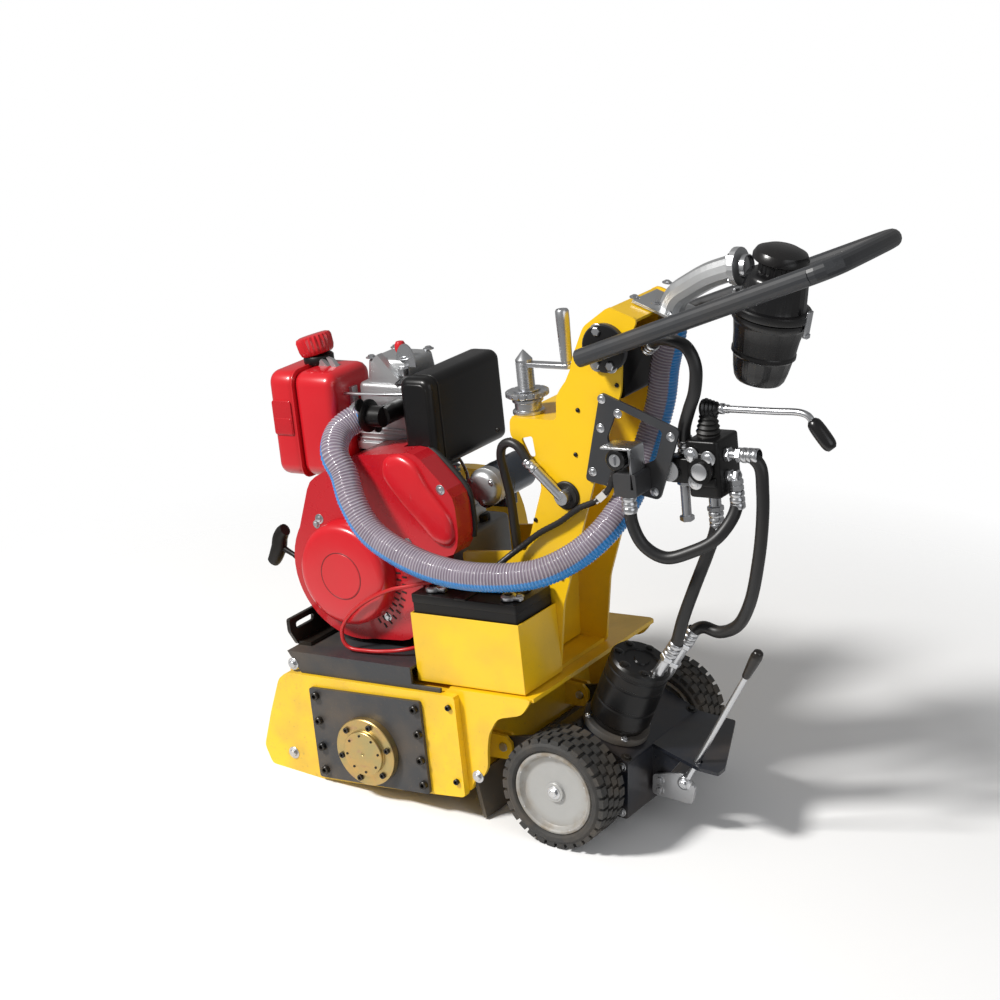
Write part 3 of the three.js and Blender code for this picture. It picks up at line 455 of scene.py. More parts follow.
# ---------------------------------------------------------------- bearing flange
# A stepped steel flange in yellow chromate: a thick outer ring with six large socket screws,
# an inner disc with eight small ones, and a centre-drill dimple.
gold_face = Look("chromated_steel", Metallic=0.9)
radius = ((gold_face.x + 0.2786) ** 2 + (gold_face.z - 0.1027) ** 2) ** 0.5
rings = (radius * 5200).math("SINE") * 0.5 + 0.5
patina = gold_face.noise(26.0, 5.0)
chromate = gold_face.mix(patina.ramp(0.35, 0.7), rgba(0.40, 0.33, 0.15), rgba(0.56, 0.36, 0.13))
chromate = gold_face.mix(gold_face.noise(60.0).ramp(0.58, 0.75) * 0.5, chromate, rgba(0.40, 0.20, 0.16))
gold_face.feed("Base Color", chromate)
gold_face.feed("Roughness", rings * 0.08 + patina * 0.2 + 0.22)
gold_face.bump(rings * 0.5 + gold_face.noise(300.0), 0.00006)
axis_at = chassis([15, -262.2, 12])
flange = [turn([(0, 0.0), (0.07, 0.0), (0.07, 0.0145), (0.0685, 0.016), (0.0465, 0.016), (0.046, 0.0165),
                (0.046, 0.0232), (0.045, 0.024), (0.004, 0.024), (0.0, 0.0205)], axis_at, LEFT, 96)]


def bolt_circle(x, y, z, radius, angles):
    """Places round a point of an upright face."""
    return np.stack([x + radius * np.cos(angles), np.full(len(angles), float(y)),
                     z + radius * np.sin(angles)], -1)


outer = np.radians(np.arange(6) * 60 + 12)
inner = np.radians(np.arange(8) * 45 + 5)
ring_screws = bolt_circle(15, -278.2, 12, 58, outer)
disc_screws = bolt_circle(15, -286.3, 12, 38, inner)
dimples = tinted(screws(chassis(disc_screws), LEFT, 0.0026, 0.0012), black_oxide)
piece("bearing_flange", tinted(flange, gold_face)
      + tinted(screws(chassis(ring_screws), LEFT, 0.0062, 0.005), black_oxide) + dimples,
      "body", ["bearing_flange_left"], sharp=30)

# ---------------------------------------------------------------- wheels
# Solid rubber tyres with four staggered rows of tread blocks on a ribbed carcass, pressed on
# spun steel dishes: a rolled rim, a flat recessed disc, a raised hub ring and an axle bolt.
def loft(rings):
    """Rings of points joined in order, with the first and last closed to their middles."""
    rings = [np.asarray(ring, float) for ring in rings]
    return grid(np.stack([np.broadcast_to(rings[0].mean(0), rings[0].shape), *rings,
                          np.broadcast_to(rings[-1].mean(0), rings[-1].shape)]))


def ring_of(shape, centre, axis, angles):
    """Copies of a shape turned round an axis through centre by some angles."""
    points, faces = shape
    to_axis = np.stack(basis(axis), 1)
    local = (points - np.asarray(centre)) @ to_axis
    cos, sin = np.cos(angles)[:, None], np.sin(angles)[:, None]
    turned = np.stack([local[None, :, 0] * cos - local[None, :, 1] * sin,
                       local[None, :, 0] * sin + local[None, :, 1] * cos,
                       np.broadcast_to(local[None, :, 2], (len(angles), len(local)))], -1)
    every = [[i + k * len(points) for i in face] for k in range(len(angles)) for face in faces]
    return (turned @ to_axis.T + np.asarray(centre)).reshape(-1, 3), every


tread_look = Look("tread_rubber")
worn = tread_look.noise(38.0, 5.0)
grip = tread_look.mix(worn, rgba(0.016, 0.016, 0.016), rgba(0.055, 0.052, 0.048))
mud = tread_look.noise(14.0, 6.0).ramp(0.48, 0.7) * 0.5
tread_look.feed("Base Color", tread_look.mix(mud, grip, rgba(0.11, 0.085, 0.06)))
tread_look.feed("Roughness", worn * 0.25 + 0.6)
tread_look.bump(tread_look.noise(260.0, 4.0) + tread_look.noise(60.0), 0.0006)

rim_look = Look("rim_grey", Metallic=0.25)
scuff = rim_look.noise(48.0, 6.0)
radial = ((rim_look.x - AXLE[0]) ** 2 + (rim_look.z - AXLE[2]) ** 2) ** 0.5
edge_dirt = radial.ramp(0.056, 0.08) * (scuff.ramp(0.4, 0.65) * 0.6 + 0.2)
rim_grey = rim_look.mix(scuff * 0.5, rgba(0.36, 0.36, 0.35), rgba(0.47, 0.47, 0.46))
rim_look.feed("Base Color", rim_look.mix(edge_dirt, rim_grey, rgba(0.22, 0.17, 0.11)))
rim_look.feed("Roughness", scuff * 0.2 + 0.36)
rim_look.bump(rim_look.noise(320.0, 2.0), 0.0001)

carcass = [(0.0848, -0.006), (0.090, -0.001), (0.098, 0.0), (0.1045, -0.004), (0.1075, -0.010),
           (0.1075, -0.075), (0.1045, -0.081), (0.098, -0.085), (0.090, -0.084), (0.0848, -0.079),
           (0.0848, -0.006)]
dish = [(0.0, -0.009), (0.008, -0.009), (0.0185, -0.009), (0.0195, -0.010), (0.0195, -0.0125),
        (0.0205, -0.0145), (0.066, -0.0145), (0.0705, -0.0138), (0.0735, -0.010), (0.0755, -0.0045),
        (0.079, -0.0025), (0.083, -0.004), (0.0845, -0.007), (0.0845, -0.078), (0.079, -0.081),
        (0.074, -0.071), (0.066, -0.068), (0.020, -0.068), (0.018, -0.085), (0.0, -0.085)]
PER_ROW = 30                    # tread blocks in a row
BLOCK_SHARE = 0.72              # how much of its pitch a block fills
WHEEL_OUT = 0.245               # outer face of a wheel from the middle of the machine
for side, label in ((-1, "left"), (1, "right")):
    hub = np.array([AXLE[0], side * WHEEL_OUT, AXLE[2]])
    outward = (0, side, 0)
    tyre = [turn(carcass, hub, outward, 72)]
    for row, (near, far) in enumerate(((-0.003, -0.0215), (-0.0245, -0.041), (-0.044, -0.0605),
                                       (-0.0635, -0.082))):
        span = math.radians(360 / PER_ROW) * BLOCK_SHARE
        arcs = np.linspace(0, span, 4)
        flare = 0.004 if row in (0, 3) else 0.0
        heights = (near, near, far, far)
        radii = (0.104 - flare, 0.1128, 0.1128, 0.104 - flare)
        u, v, w = basis(outward)
        sections = [[hub + (math.cos(a) * u + math.sin(a) * v) * r + w * h
                     for r, h in zip(radii, heights)] for a in arcs]
        start = (row % 2) * 0.5 + row * 0.12
        tyre.append(ring_of(loft(sections), hub, outward,
                            (np.arange(PER_ROW) + start) * 2 * math.pi / PER_ROW))
    piece(f"tyre_tread_{label}", tinted(tyre, tread_look), f"wheel_{label}", [f"tyre_{label}"],
          sharp=35)
    bolt = screws([hub - np.array([0, side * 0.009, 0])], outward, 0.0085, 0.007, "hex")
    axle = solid([(0.014, 0), (0.014, -0.075)], hub - np.array([0, side * 0.084, 0]), outward, 24)
    marks = np.radians([25, 95, 160, 215, 300])
    scars = [turn([(0, 0.0006), (0.0016, 0.0003), (0.002, -0.0005)],
                  hub + np.array([0.077 * math.cos(a), -side * 0.0035, 0.077 * math.sin(a)]), outward, 10)
             for a in marks]
    piece(f"wheel_dish_{label}", tinted([turn(dish, hub, outward, 72)], rim_look)
          + tinted(bolt + [axle] + scars, zinc), f"wheel_{label}", [f"wheel_rim_{label}"],
          sharp=32)

# ---------------------------------------------------------------- air hose
# A clear corrugated suction hose, its hard white spiral standing as close ridges, with one
# blue stripe along the outside of the bend. The ridge crests are painted lighter: partly the white
# spiral, partly painted glints along the ridges. It runs from the engine's intake, round under the
# battery side, up inside the column to the elbow below the air cleaner.
AIR_ROUTE = [[-6.4, -112, 658], [-12, -112, 658], [-20, -112.5, 657], [-46, -152, 636], [-32, -197, 602],
             [-6, -208, 566], [20, -226, 520], [62, -236, 466], [134, -242, 428], [223, -242, 402],
             [331, -236, 396], [424, -208, 404], [480, -166, 428], [520, -132, 462], [542, -88, 500],
             [556, -40, 552], [572, -8, 620], [592, 8, 690], [606, 10, 757], [620, 10, 800], [628, 10, 828],
             [628, 10, 840]]
RIDGE = 6.2                     # pitch of the spiral
TUBE_R = 28.0
RIDGE_DEPTH = 1.3
TUBE_SIDES = 36
air_line = curve(AIR_ROUTE, 1300)
run = np.concatenate([[0], np.cumsum(np.linalg.norm(np.diff(air_line, axis=0), axis=1))])
ridge = 0.5 + 0.5 * np.cos(2 * math.pi * run / RIDGE)
hose_look = Look("clear_spiral_hose", Transmission_Weight=0.25, IOR=1.2, Coat_Weight=0.6, Coat_Roughness=0.08)
along = hose_look.node("ShaderNodeAttribute", {"attribute_name": "along"}, out=2)
outside = hose_look.node("ShaderNodeAttribute", {"attribute_name": "outside"}, out=2)
# lighter colour on every ridge crest: partly the hose's white spiral, partly painted glints along the ridges
crest = (along * (2000 * math.pi / RIDGE)).math("COSINE") * 0.5 + 0.5
cloudy = hose_look.noise(22.0, 4.0)
wall = hose_look.mix(cloudy, rgba(0.16, 0.12, 0.17), rgba(0.34, 0.29, 0.35))
spiral_and_glints = hose_look.mix(crest.ramp(0.45, 1.0) * 0.55, wall, rgba(0.62, 0.6, 0.64))
hose_look.feed("Base Color", hose_look.mix(outside.ramp(0.80, 0.86), spiral_and_glints, rgba(0.03, 0.30, 0.78)))
hose_look.feed("Roughness", cloudy * 0.15 + 0.1)
hose_look.bump(hose_look.noise(500.0), 0.0001)
tube_points, tube_faces = sweep(chassis(air_line), (TUBE_R - RIDGE_DEPTH * (1 - ridge)) / 1000, TUBE_SIDES)
air_hose = piece("air_hose", [(tube_points, tube_faces, hose_look)],
                 "body", ["intake_hose"], sharp=75)
middle = chassis(air_line)
ring_at = np.concatenate([[0], np.arange(len(middle)), [len(middle) - 1]]).repeat(TUBE_SIDES)
away = middle - chassis([215, 60, 700])
tangent = np.gradient(middle, axis=0)
tangent /= np.linalg.norm(tangent, axis=1)[:, None]
away -= (away * tangent).sum(1)[:, None] * tangent
away /= np.linalg.norm(away, axis=1)[:, None]
normal = (tube_points - middle[ring_at]) / (TUBE_R / 1000)
for attribute, values in (("outside", (normal * away[ring_at]).sum(1)), ("along", run[ring_at] / 1000)):
    air_hose.data.attributes.new(attribute, "FLOAT", "POINT").data.foreach_set("value", values)

# ---------------------------------------------------------------- hydraulic hoses
# Black rubber hoses with pressed zinc ferrules and hexagon nuts at their ends. The two motor
# hoses run between the body's valve and the swinging drive frame, tied to neither body.
hose_rubber = paint("hose_rubber", (0.013, 0.013, 0.014), 0.42, 0.2, grain=0.00008)


def body_axes(points):
    """Points from the drive axle in level axes, in the nose-down axes of the body, in millimetres."""
    p = ground(points)
    x, z = (p[..., 0] - DRUM[0]) * 1000, (p[..., 2] - DRUM[1]) * 1000
    return np.stack([x * math.cos(PITCH) + z * math.sin(PITCH), p[..., 1] * 1000,
                     z * math.cos(PITCH) - x * math.sin(PITCH)], -1)


HOSE_R = 12
SLEEVE = 2.2                    # how far a ferrule stands out from its hose


def ferrule(route, at_start, reach=34, radius=14.5):
    """A ribbed sleeve on the end of a hose, with a nut outside it."""
    line = np.asarray(route, float) if at_start else np.asarray(route, float)[::-1]
    end = line[0]
    inward = line[1] - end
    inward /= np.linalg.norm(inward)
    profile = [(0, 0), (radius * 0.9, 0), (radius, 2), (radius, 8), (radius * 0.88, 9.5), (radius * 0.88, 12),
               (radius, 13.5), (radius, 20), (radius * 0.88, 21.5), (radius, 23.5), (radius, reach - 2),
               (radius * 0.86, reach)]
    return [turn([(r / 1000, h / 1000) for r, h in profile], chassis(end),
                 chassis(end + inward * 100) - chassis(end), 24)]


def hose(name, route, radius, count, ends=(True, True), node=None, sleeve=34):
    fine = curve(route, count)
    parts = tinted([sweep(chassis(fine), radius / 1000, 18)], hose_rubber)
    for at_start, wanted in zip((True, False), ends):
        if wanted:
            parts += tinted(ferrule(fine, at_start, sleeve, radius + SLEEVE), zinc)
    piece(name, parts, "body", [node or name], sharp=50)


run_length = math.hypot(49, 90)
PORT_ENDS = [[body_axes([x + d * 49 / run_length, y, z + d * 90 / run_length]).tolist() for d in (28, 0.3)]
             for x, y, z in ((165, -30, 277), (150, -70, 261))]
LOWER_LOOP = [[591, -134, 547], [591, -134, 525], [594, -134, 490], [612, -130, 450], [650, -122, 428],
              [700, -108, 440], [742, -94, 462], [768, -72, 498], [775, -61, 525], [775, -60, 540],
              [775, -60, 547.6]]
UPPER_LOOP = [[600, -40, 800], [640, -66, 826], [680, -84, 830], [712, -90, 820], [727, -90, 788],
              [720, -86, 740], [700, -78, 700], [680, -66, 660], [674, -58, 630], [674, -58, 611]]
MOTOR_A = [[792.6, -60, 616], [800, -60, 616], [808, -60, 615.5], [826, -60, 598], [828, -60, 550],
           [822, -58, 493], [806, -54, 416], [776, -46, 325], [742, -38, 275], [700, -32, 256],
           [664, -30, 261], *PORT_ENDS[0]]
MOTOR_B = [[720, -45, 499.6], [720, -45, 486], [718, -48, 464], [702, -56, 420], [672, -66, 350],
           [646, -70, 290], *PORT_ENDS[1]]
PORT_HOSE = [[372, -103.5, 570], [364, -103.1, 577.1], [354, -103, 589], [345, -102.6, 604], [332, -102, 617],
             [316, -101, 621], [298, -98, 612], [286, -90, 588], [281, -76, 550], [280, -64, 500],
             [280, -60, 440], [280, -58, 400], [280, -56, 300], [280, -56, 200], [280, -56, 167]]
hose("lower_hose", LOWER_LOOP, HOSE_R, 90, node="hose_lower_loop")
hose("upper_hose", UPPER_LOOP, HOSE_R, 90, node="hose_upper_loop")
hose("port_hose_line", PORT_HOSE, 9, 90, (True, False), "port_hose", 28)


def bending_hose(name, route, node):
    """A hose with a ferrule at each end, taken off every body, with its placing set into its points."""
    fine = curve(route, 110)
    parts = tinted([sweep(chassis(fine), HOSE_R / 1000, 18)], hose_rubber)
    for at_start in (True, False):
        parts += tinted(ferrule(fine, at_start, 34, HOSE_R + SLEEVE), zinc)
    made = piece(name, parts, "body", sharp=50)
    made.parent = None
    del made["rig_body"]
    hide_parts(node)
    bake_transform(made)


bending_hose("motor_hose_outer", MOTOR_A, "motor_hose_a")
bending_hose("motor_hose_inner", MOTOR_B, "motor_hose_b")

# ---------------------------------------------------------------- battery cables and harness
# A red and a black battery cable with crimped eyes, and a black sleeved harness that ends in a
# white plug at the key switch.
CABLE_RED = [[168, -195, 357], [152, -202, 356], [118, -208, 348], [82, -213, 340], [44, -214, 324],
             [-2, -214, 298], [-40, -214, 265], [-56, -214, 239], [-54, -214, 214], [-42, -212, 203],
             [0, -210, 201], [33, -206, 202], [80, -198, 208], [104, -180, 211], [112, -150, 211],
             [112, -100, 211], [112, -55.5, 211]]
CABLE_BLACK = [[343, -195, 357], [352, -192, 362], [366, -184, 370], [385, -160, 374], [400, -130, 376],
               [408, -108, 377], [410, -90.6, 378]]
HARNESS = [[548, -104, 596.8], [547, -104, 585], [531, -106, 546], [500, -104, 520], [460, -102, 502],
           [412, -101, 470], [364, -101, 444], [325, -104, 416], [300, -112, 398], [284, -126, 384],
           [276, -138, 374], [276, -139, 365.2]]
red_cable = paint("red_insulation", (0.5, 0.012, 0.015), 0.35, 0.2)
white_plug = paint("white_nylon", (0.72, 0.7, 0.66), 0.45, 0.3)
piece("red_cable", tinted([sweep(chassis(curve(CABLE_RED, 140)), 0.004, 12)], red_cable),
      "body", ["battery_cable"])
piece("black_cable", tinted([sweep(chassis(curve(CABLE_BLACK, 50)), 0.004, 12)], hose_rubber),
      "body", ["earth_cable"])
wire = curve(HARNESS, 120)
weave = 6 + 0.35 * np.cos(np.arange(120) * 2.1)
strands = curve(HARNESS[:4], 24) + [3, -2, 4]
piece("harness", tinted([sweep(chassis(wire), weave / 1000, 14)], hose_rubber)
      + tinted([sweep(chassis(strands), 0.0018, 8)], red_cable)
      + tinted([solid([(0.009, 0), (0.01, 0.002), (0.01, 0.020), (0.007, 0.022), (0.007, 0.03)],
                      chassis(wire[20]), chassis(wire[26]) - chassis(wire[20]), 4, 0.6)], white_plug),
      "body", ["wiring_harness"], sharp=30)

# ---------------------------------------------------------------- recoil starter
# A pressed red cover with a rounded rim over the flywheel, a round emblem field left blank inside
# a thin groove whose shade is painted as a dark red ring, four pan screws, and a black rubber T-grip that
# sits in a fairlead.
def on_body(shapes):
    """Shapes drawn in the body's axes in millimetres, moved to the frame."""
    return [(chassis(points), faces) for points, faces in shapes]


def fitted(shapes, look):
    return tinted(on_body(shapes), look)


def bolted(places, axis, size, height):
    """Plated hexagon screws in the body's axes."""
    return fitted(screws(places, axis, size, height, "hex"), zinc)


def rounded_rect(a0, a1, b0, b1, corner, steps=6):
    """A rectangle's outline with round corners."""
    centres = np.array([[a1 - corner, b1 - corner], [a0 + corner, b1 - corner],
                        [a0 + corner, b0 + corner], [a1 - corner, b0 + corner]])
    arc = np.linspace(0, math.pi / 2, steps)
    turns = arc[None, :] + np.arange(4)[:, None] * math.pi / 2
    ring = np.stack([np.cos(turns), np.sin(turns)], -1) * corner
    return (centres[:, None] + ring).reshape(-1, 2)


def cushion(a, b, c, corner, edge, order=(0, 2, 1), taper=0.0):
    """A box with round corners across c and soft edges at both ends; order says which axes a, b
    and c are, and taper draws the far end in."""
    swing = np.linspace(0, math.pi / 2, 5)
    rings = []
    for share, into, level in [(0, edge * (1 - math.sin(t)), c[0] + edge * (1 - math.cos(t)))
                               for t in swing] + [(1, edge * (1 - math.sin(t)) + taper,
                                                   c[1] - edge * (1 - math.cos(t))) for t in swing[::-1]]:
        flat = rounded_rect(a[0] + into, a[1] - into, b[0] + into, b[1] - into, max(corner - into, 0.5))
        rings.append(np.column_stack([flat, np.full(len(flat), level)]))
    points, faces = loft(rings)
    placed = np.empty_like(points)
    placed[:, list(order)] = points
    return placed, faces


bright_red = paint("red_cover", (0.58, 0.009, 0.017), 0.3, 0.22, Coat_Weight=0.35, Coat_Roughness=0.1)
# dark red painted shade for the groove round the emblem field
groove_shade_red = paint("red_groove_painted_shade", (0.16, 0.004, 0.008), 0.5, 0.3)
# near-black for the louvre slots, which are painted shade in place of openings, and for the real rubber edge
louvre_shade_and_edge_black = paint("louvre_shade_and_edge_black", (0.008, 0.008, 0.008), 0.6, 0.2)
SHROUD_FACE = -165.2
CRANK = [-50, -165.3, 350]
cover = [(0, 38), (47, 38), (48.2, 37.2), (49.4, 38), (88, 38), (96, 36.5), (101.5, 32.5), (104.5, 27),
         (106, 18), (107, 3), (107, 0), (0, 0)]
field = [(0, 38.4), (46, 38.6), (46.6, 38.0), (0, 37.0)]
groove = [(46.9, 37.9), (47.4, 38.3), (49.0, 38.3), (49.5, 37.9)]
parts = fitted([turn(cover, CRANK, LEFT, 96), turn(field, CRANK, LEFT, 64)], bright_red)
# the groove's shade, painted as a dark red ring lying over it
parts += fitted([turn(groove, CRANK, LEFT, 96)], groove_shade_red)
angles = np.radians([40, 130, 220, 310])
heads = bolt_circle(CRANK[0], SHROUD_FACE, CRANK[2], 118, angles)
parts += bolted(heads, LEFT, 5.5, 4.5)
piece("recoil_cover", parts, "body", ["recoil_starter"], sharp=30)

grip_bar = curve([[-264, -150, 345], [-258, -150, 352], [-244, -150, 378], [-238, -150, 398],
                  [-228, -150, 412], [-222, -150, 416]], 20)
grip_girth = 10.5 + 5.5 * np.sin(np.linspace(0.05, 1, 20) * math.pi * 0.97) ** 0.4
stalk = np.linspace([-243, -150, 380], [-196, -150, 358], 12)
stalk_girth = np.interp(np.arange(12), [0, 4, 8, 11], [8, 6, 5, 7.5])
piece("pull_grip", fitted([sweep(grip_bar, grip_girth, 20), sweep(stalk, stalk_girth, 16)], plastic),
      "body", ["starter_grip"], sharp=60)

# ---------------------------------------------------------------- engine shroud details
# The blower shroud has a raised duct toward the cylinder, two rows of cooling louvres beside
# the recoil cover drawn as near-black slots of painted shade in place of openings, a black rubber edge behind
# its right side, and hexagon screws.
RIGHT = (0, 1, 0)
duct_low = np.array([[62, 592], [100, 604], [138, 588], [163, 540], [190, 508], [211, 480], [213, 438],
                     [196, 420], [168, 426], [139, 459], [103, 496], [68, 538], [54, 562]], float)


def outline_ring(outline, y, shrink):
    """A closed outline at a depth, drawn in toward its middle, with extra points on its sides."""
    inner = outline.mean(0) + (outline - outline.mean(0)) * shrink
    steps = np.linspace(0, 1, 4, endpoint=False)
    dense = (inner[:, None] * (1 - steps[None, :, None])
             + np.roll(inner, -1, 0)[:, None] * steps[None, :, None]).reshape(-1, 2)
    smooth = (np.roll(dense, 1, 0) + 2 * dense + np.roll(dense, -1, 0)) / 4
    smooth = (np.roll(smooth, 1, 0) + 2 * smooth + np.roll(smooth, -1, 0)) / 4
    return np.column_stack([smooth[:, 0], np.full(len(smooth), y), smooth[:, 1]])


duct = loft([outline_ring(duct_low, y, shrink) for y, shrink in (
    (-164, 1.0), (-168, 0.985), (-172, 0.95), (-175, 0.88), (-176.5, 0.78))])
parts = fitted([duct], bright_red)
slots = []
for row in range(2):
    angle = np.radians(np.arange(-62, 60, 7.2) + row * 3.6)
    mid = 114 + row * 14
    slot = np.array([[-5.5, -1.6], [5.5, -1.6], [5.5, 1.6], [-5.5, 1.6]])
    base = [np.column_stack([CRANK[0] + mid + slot[:, 0], np.full(4, y), CRANK[2] + slot[:, 1]])
            for y in (-164.8, -166.2)]
    slots.append(ring_of(loft(base), CRANK, RIGHT, -angle))
# the louvres: near-black slots of painted shade in place of openings
parts += fitted(slots, louvre_shade_and_edge_black)
edge_path = np.array([[132, 602], [158, 583], [204, 536], [215, 517], [219.5, 482], [219, 448], [215, 428]],
                     float)
edging = curve(np.column_stack([edge_path[:, 0], np.full(len(edge_path), -108), edge_path[:, 1]]), 40)
parts += fitted([sweep(edging, 6, 12)], louvre_shade_and_edge_black)
parts += bolted(on_face(SHROUD_FACE, (189, 536), (-117, 452), (96, 420)), LEFT, 6.5, 5)
piece("shroud_duct", parts, "body", sharp=40)

# ---------------------------------------------------------------- fuel tank
# Two deep-drawn halves welded at an upright seam, a shallow recess for a plate on the outer half,
# and a ribbed filler cap tilted on a black collar.
UP = (0, 0, 1)
tank_parts = [cushion((-109, 29), (516, 734), (-254, -186), 26, 18, (1, 2, 0)),
              cushion((-109, 29), (518, 734), (-190, -91), 26, 20, (1, 2, 0)),
              cushion((-113, 33), (512, 738), (-190.5, -187), 28, 1.2, (1, 2, 0))]
recess = [cushion((-247, -199), (604, 676), (-111.5, -108), 6, 1.2),
          cushion((-245, -201), (606, 640), (-112.6, -108), 4, 1.0)]
piece("fuel_tank_shell", fitted(tank_parts, bright_red) + fitted(recess, red),
      "body", ["fuel_tank"], sharp=50)
FILLER = (-184, -20)            # the filler's axis, X and Y
lid_axis = np.array([-10, 0, 40.0]) / math.hypot(10, 40)
collar = solid([(30, 0), (31, 3), (31, 15), (28, 18)], [*FILLER, 735.3], UP, 40)
lid_angle = np.linspace(0, 2 * math.pi, 96, endpoint=False)
u, v, w = basis(lid_axis)
lid_rings = []
for radius_mm, height, rib in ((31, 0, 0), (35, 3, 0.4), (37, 12, 1.6), (38, 32, 1.8), (36, 38, 1.2),
                               (30, 40.5, 0), (10, 41, 0)):
    r = radius_mm + rib * np.cos(lid_angle * 24)
    lid_rings.append(np.array([*FILLER, 752.5]) + lid_axis * height
                     + r[:, None] * (np.cos(lid_angle)[:, None] * u * 1.0
                                     + np.sin(lid_angle)[:, None] * v * 0.9))
piece("filler_cap", fitted([loft(lid_rings)], bright_red) + fitted([collar], plastic),
      "body", ["fuel_cap"], sharp=50)

# ---------------------------------------------------------------- cylinder head
# A cast aluminium head with a deep rocker box, cooling fins below it, a forked bracket toward the
# tank, the decompressor with its half-round plate and red knob, and the governor rod.
def block(x, y, z, corner, edge, taper=0.0):
    """A cushion whose corners are round seen from above."""
    return cushion(x, y, z, corner, edge, (0, 1, 2), taper)


head_parts = [block((-88, 62), (-54, 95), (568.4, 584), 8, 2), block((-84, 60), (-50, 88), (583, 612), 14, 4),
              block((-78, 56), (-48, 78), (606, 704), 18, 8, 3),
              block((-58, 50), (-38, 66), (696, 752), 16, 9, 5)]
head_parts += [block((-86, 61), (-52, 90), (z, z + 3.5), 12, 1) for z in (590, 600, 610)]
head_parts += [loft([[[-171, -44, 738], [-160, -44, 748], [-160, -34, 748], [-171, -34, 738]],
                     [[-108, -50, 682], [-96, -50, 694], [-96, -36, 694], [-108, -36, 682]]]),
               loft([[[-146, -44, 752], [-132, -44, 748], [-132, -34, 748], [-146, -34, 752]],
                     [[-104, -50, 684], [-88, -50, 690], [-88, -36, 690], [-104, -36, 684]]]),
               loft([[[-112, -52, 660], [-84, -52, 660], [-84, -34, 660], [-112, -34, 660]],
                     [[-112, -52, 696], [-84, -52, 696], [-84, -34, 696], [-112, -34, 696]]])]
fork = loft([[[-30, -46, 752], [-16, -46, 764], [-16, -30, 764], [-30, -30, 752]],
             [[20, -52, 706], [34, -52, 716], [34, -34, 716], [20, -34, 706]]])
half_angle = np.linspace(0, math.pi, 24)
plate_out = np.column_stack([40 + 24 * np.cos(half_angle), 738 + 46 * np.sin(half_angle)])
plate_rings = [np.column_stack([plate_out[:, 0], np.full(24, y), plate_out[:, 1]]) for y in (-30, -26)]
rod = np.array([[-128, -66, 686], [-60, -70, 688], [10, -70, 690], [60, -66, 692]], float)
parts = fitted(head_parts + [fork], cast)
parts += fitted([loft(plate_rings), sweep(curve(rod, 20), 3.2, 10),
                 solid([(10, 0), (11, 4), (11, 14), (7, 18)], [36, -34, 722], UP, 20)], zinc)
parts += fitted([turn([(0, 0), (9, 2), (11, 8), (11, 18), (8, 24), (0, 26)], [18, -12, 760], UP, 20)],
                bright_red)
bolts_at = [[x, y, 753.5] for x in (-44, 36) for y in (-28, 56)] + [[x, -44, 585] for x in (-78, 52)]
parts += bolted(bolts_at, UP, 7, 6)
piece("cylinder_head_casting", parts, "body", ["cylinder_head"], sharp=38)

# ---------------------------------------------------------------- silencer and intake
# The silencer is two black pressed shells joined at a seam near its outer end. The intake
# is a black flange with two studs, a short steel neck and a hose clamp.
REAR, FRONT = (1, 0, 0), (-1, 0, 0)
silencer_parts = [cushion((76, 150), (552, 738), (-111, 140), 20, 14),
                  cushion((74, 152), (550, 740), (-84, -80), 21, 1.5),
                  cushion((84, 142), (562, 728), (-113, -100), 16, 5)]
piece("silencer_shell", fitted(silencer_parts, black)
      + fitted([solid([(22, 0), (22, 18)], [60, 20, 640], REAR, 32)], iron),
      "body", ["silencer"], sharp=50)
INTAKE = [-6, -112, 658]        # middle of the intake flange
neck = [solid([(31, 0), (33, 1.5), (33, 5), (31, 6.5)], INTAKE, REAR, 40),
        turn([(0, 6), (21, 6), (21, 40), (0, 42)], INTAKE, REAR, 28),
        solid([(20, 0), (20, 62)], [28, -112, 658], RIGHT, 28)]
ears = [turn([(0, 0), (12, 0), (13, 1.5), (13, 5), (0, 6)], [-6, -112 + s * 26, 658 - s * 28], REAR, 24)
        for s in (-1, 1)]
studs = screws([[-6, -112 + s * 26, 658 - s * 28] for s in (-1, 1)], FRONT, 7, 7, "hex")
band = [turn([(28.4, 0), (29.8, 0.4), (29.8, 9.6), (28.4, 10)], [-20, -112.5, 657.2], (-1, 0.05, -0.05), 48),
        block((-34, -20), (-148, -140), (650, 664), 3, 1)]
piece("intake_neck", fitted(neck + ears, black) + fitted(studs + band, zinc),
      "body", ["intake_flange"], sharp=40)

# ---------------------------------------------------------------- starter motor
# A plated steel body with a black pole case, a cast nose and the solenoid on top.
steel_dark = paint("blued_steel", (0.10, 0.115, 0.14), 0.25, 0.3, Metallic=0.9)
nose = [(0, 0), (24, 0), (30, 3), (34, 8), (36, 14), (38, 16), (38, 34), (0, 34)]
case = [(0, 33), (37, 33), (38, 35), (38, 62), (38.6, 62.5), (38.6, 66), (38, 66.5), (38, 142), (0, 143)]
solenoid = [(0, 0), (18, 0), (20, 3), (20, 52), (17, 56), (0, 56)]
base_at = [205, -53, 505]
shapes = fitted([turn(nose, base_at, RIGHT, 48)], cast) + fitted([turn(case, base_at, RIGHT, 48)], steel_dark)
shapes += fitted([turn(solenoid, [180, -10, 470], RIGHT, 32),
                  block((150.4, 200), (40, 78), (438, 482), 5, 2)], steel_dark)
spots = np.radians([30, 150, 270])
shapes += bolted(bolt_circle(205, -52, 505, 27, spots), LEFT, 4.5, 4)
piece("starter_case", shapes, "body", ["starter_motor"], sharp=38)

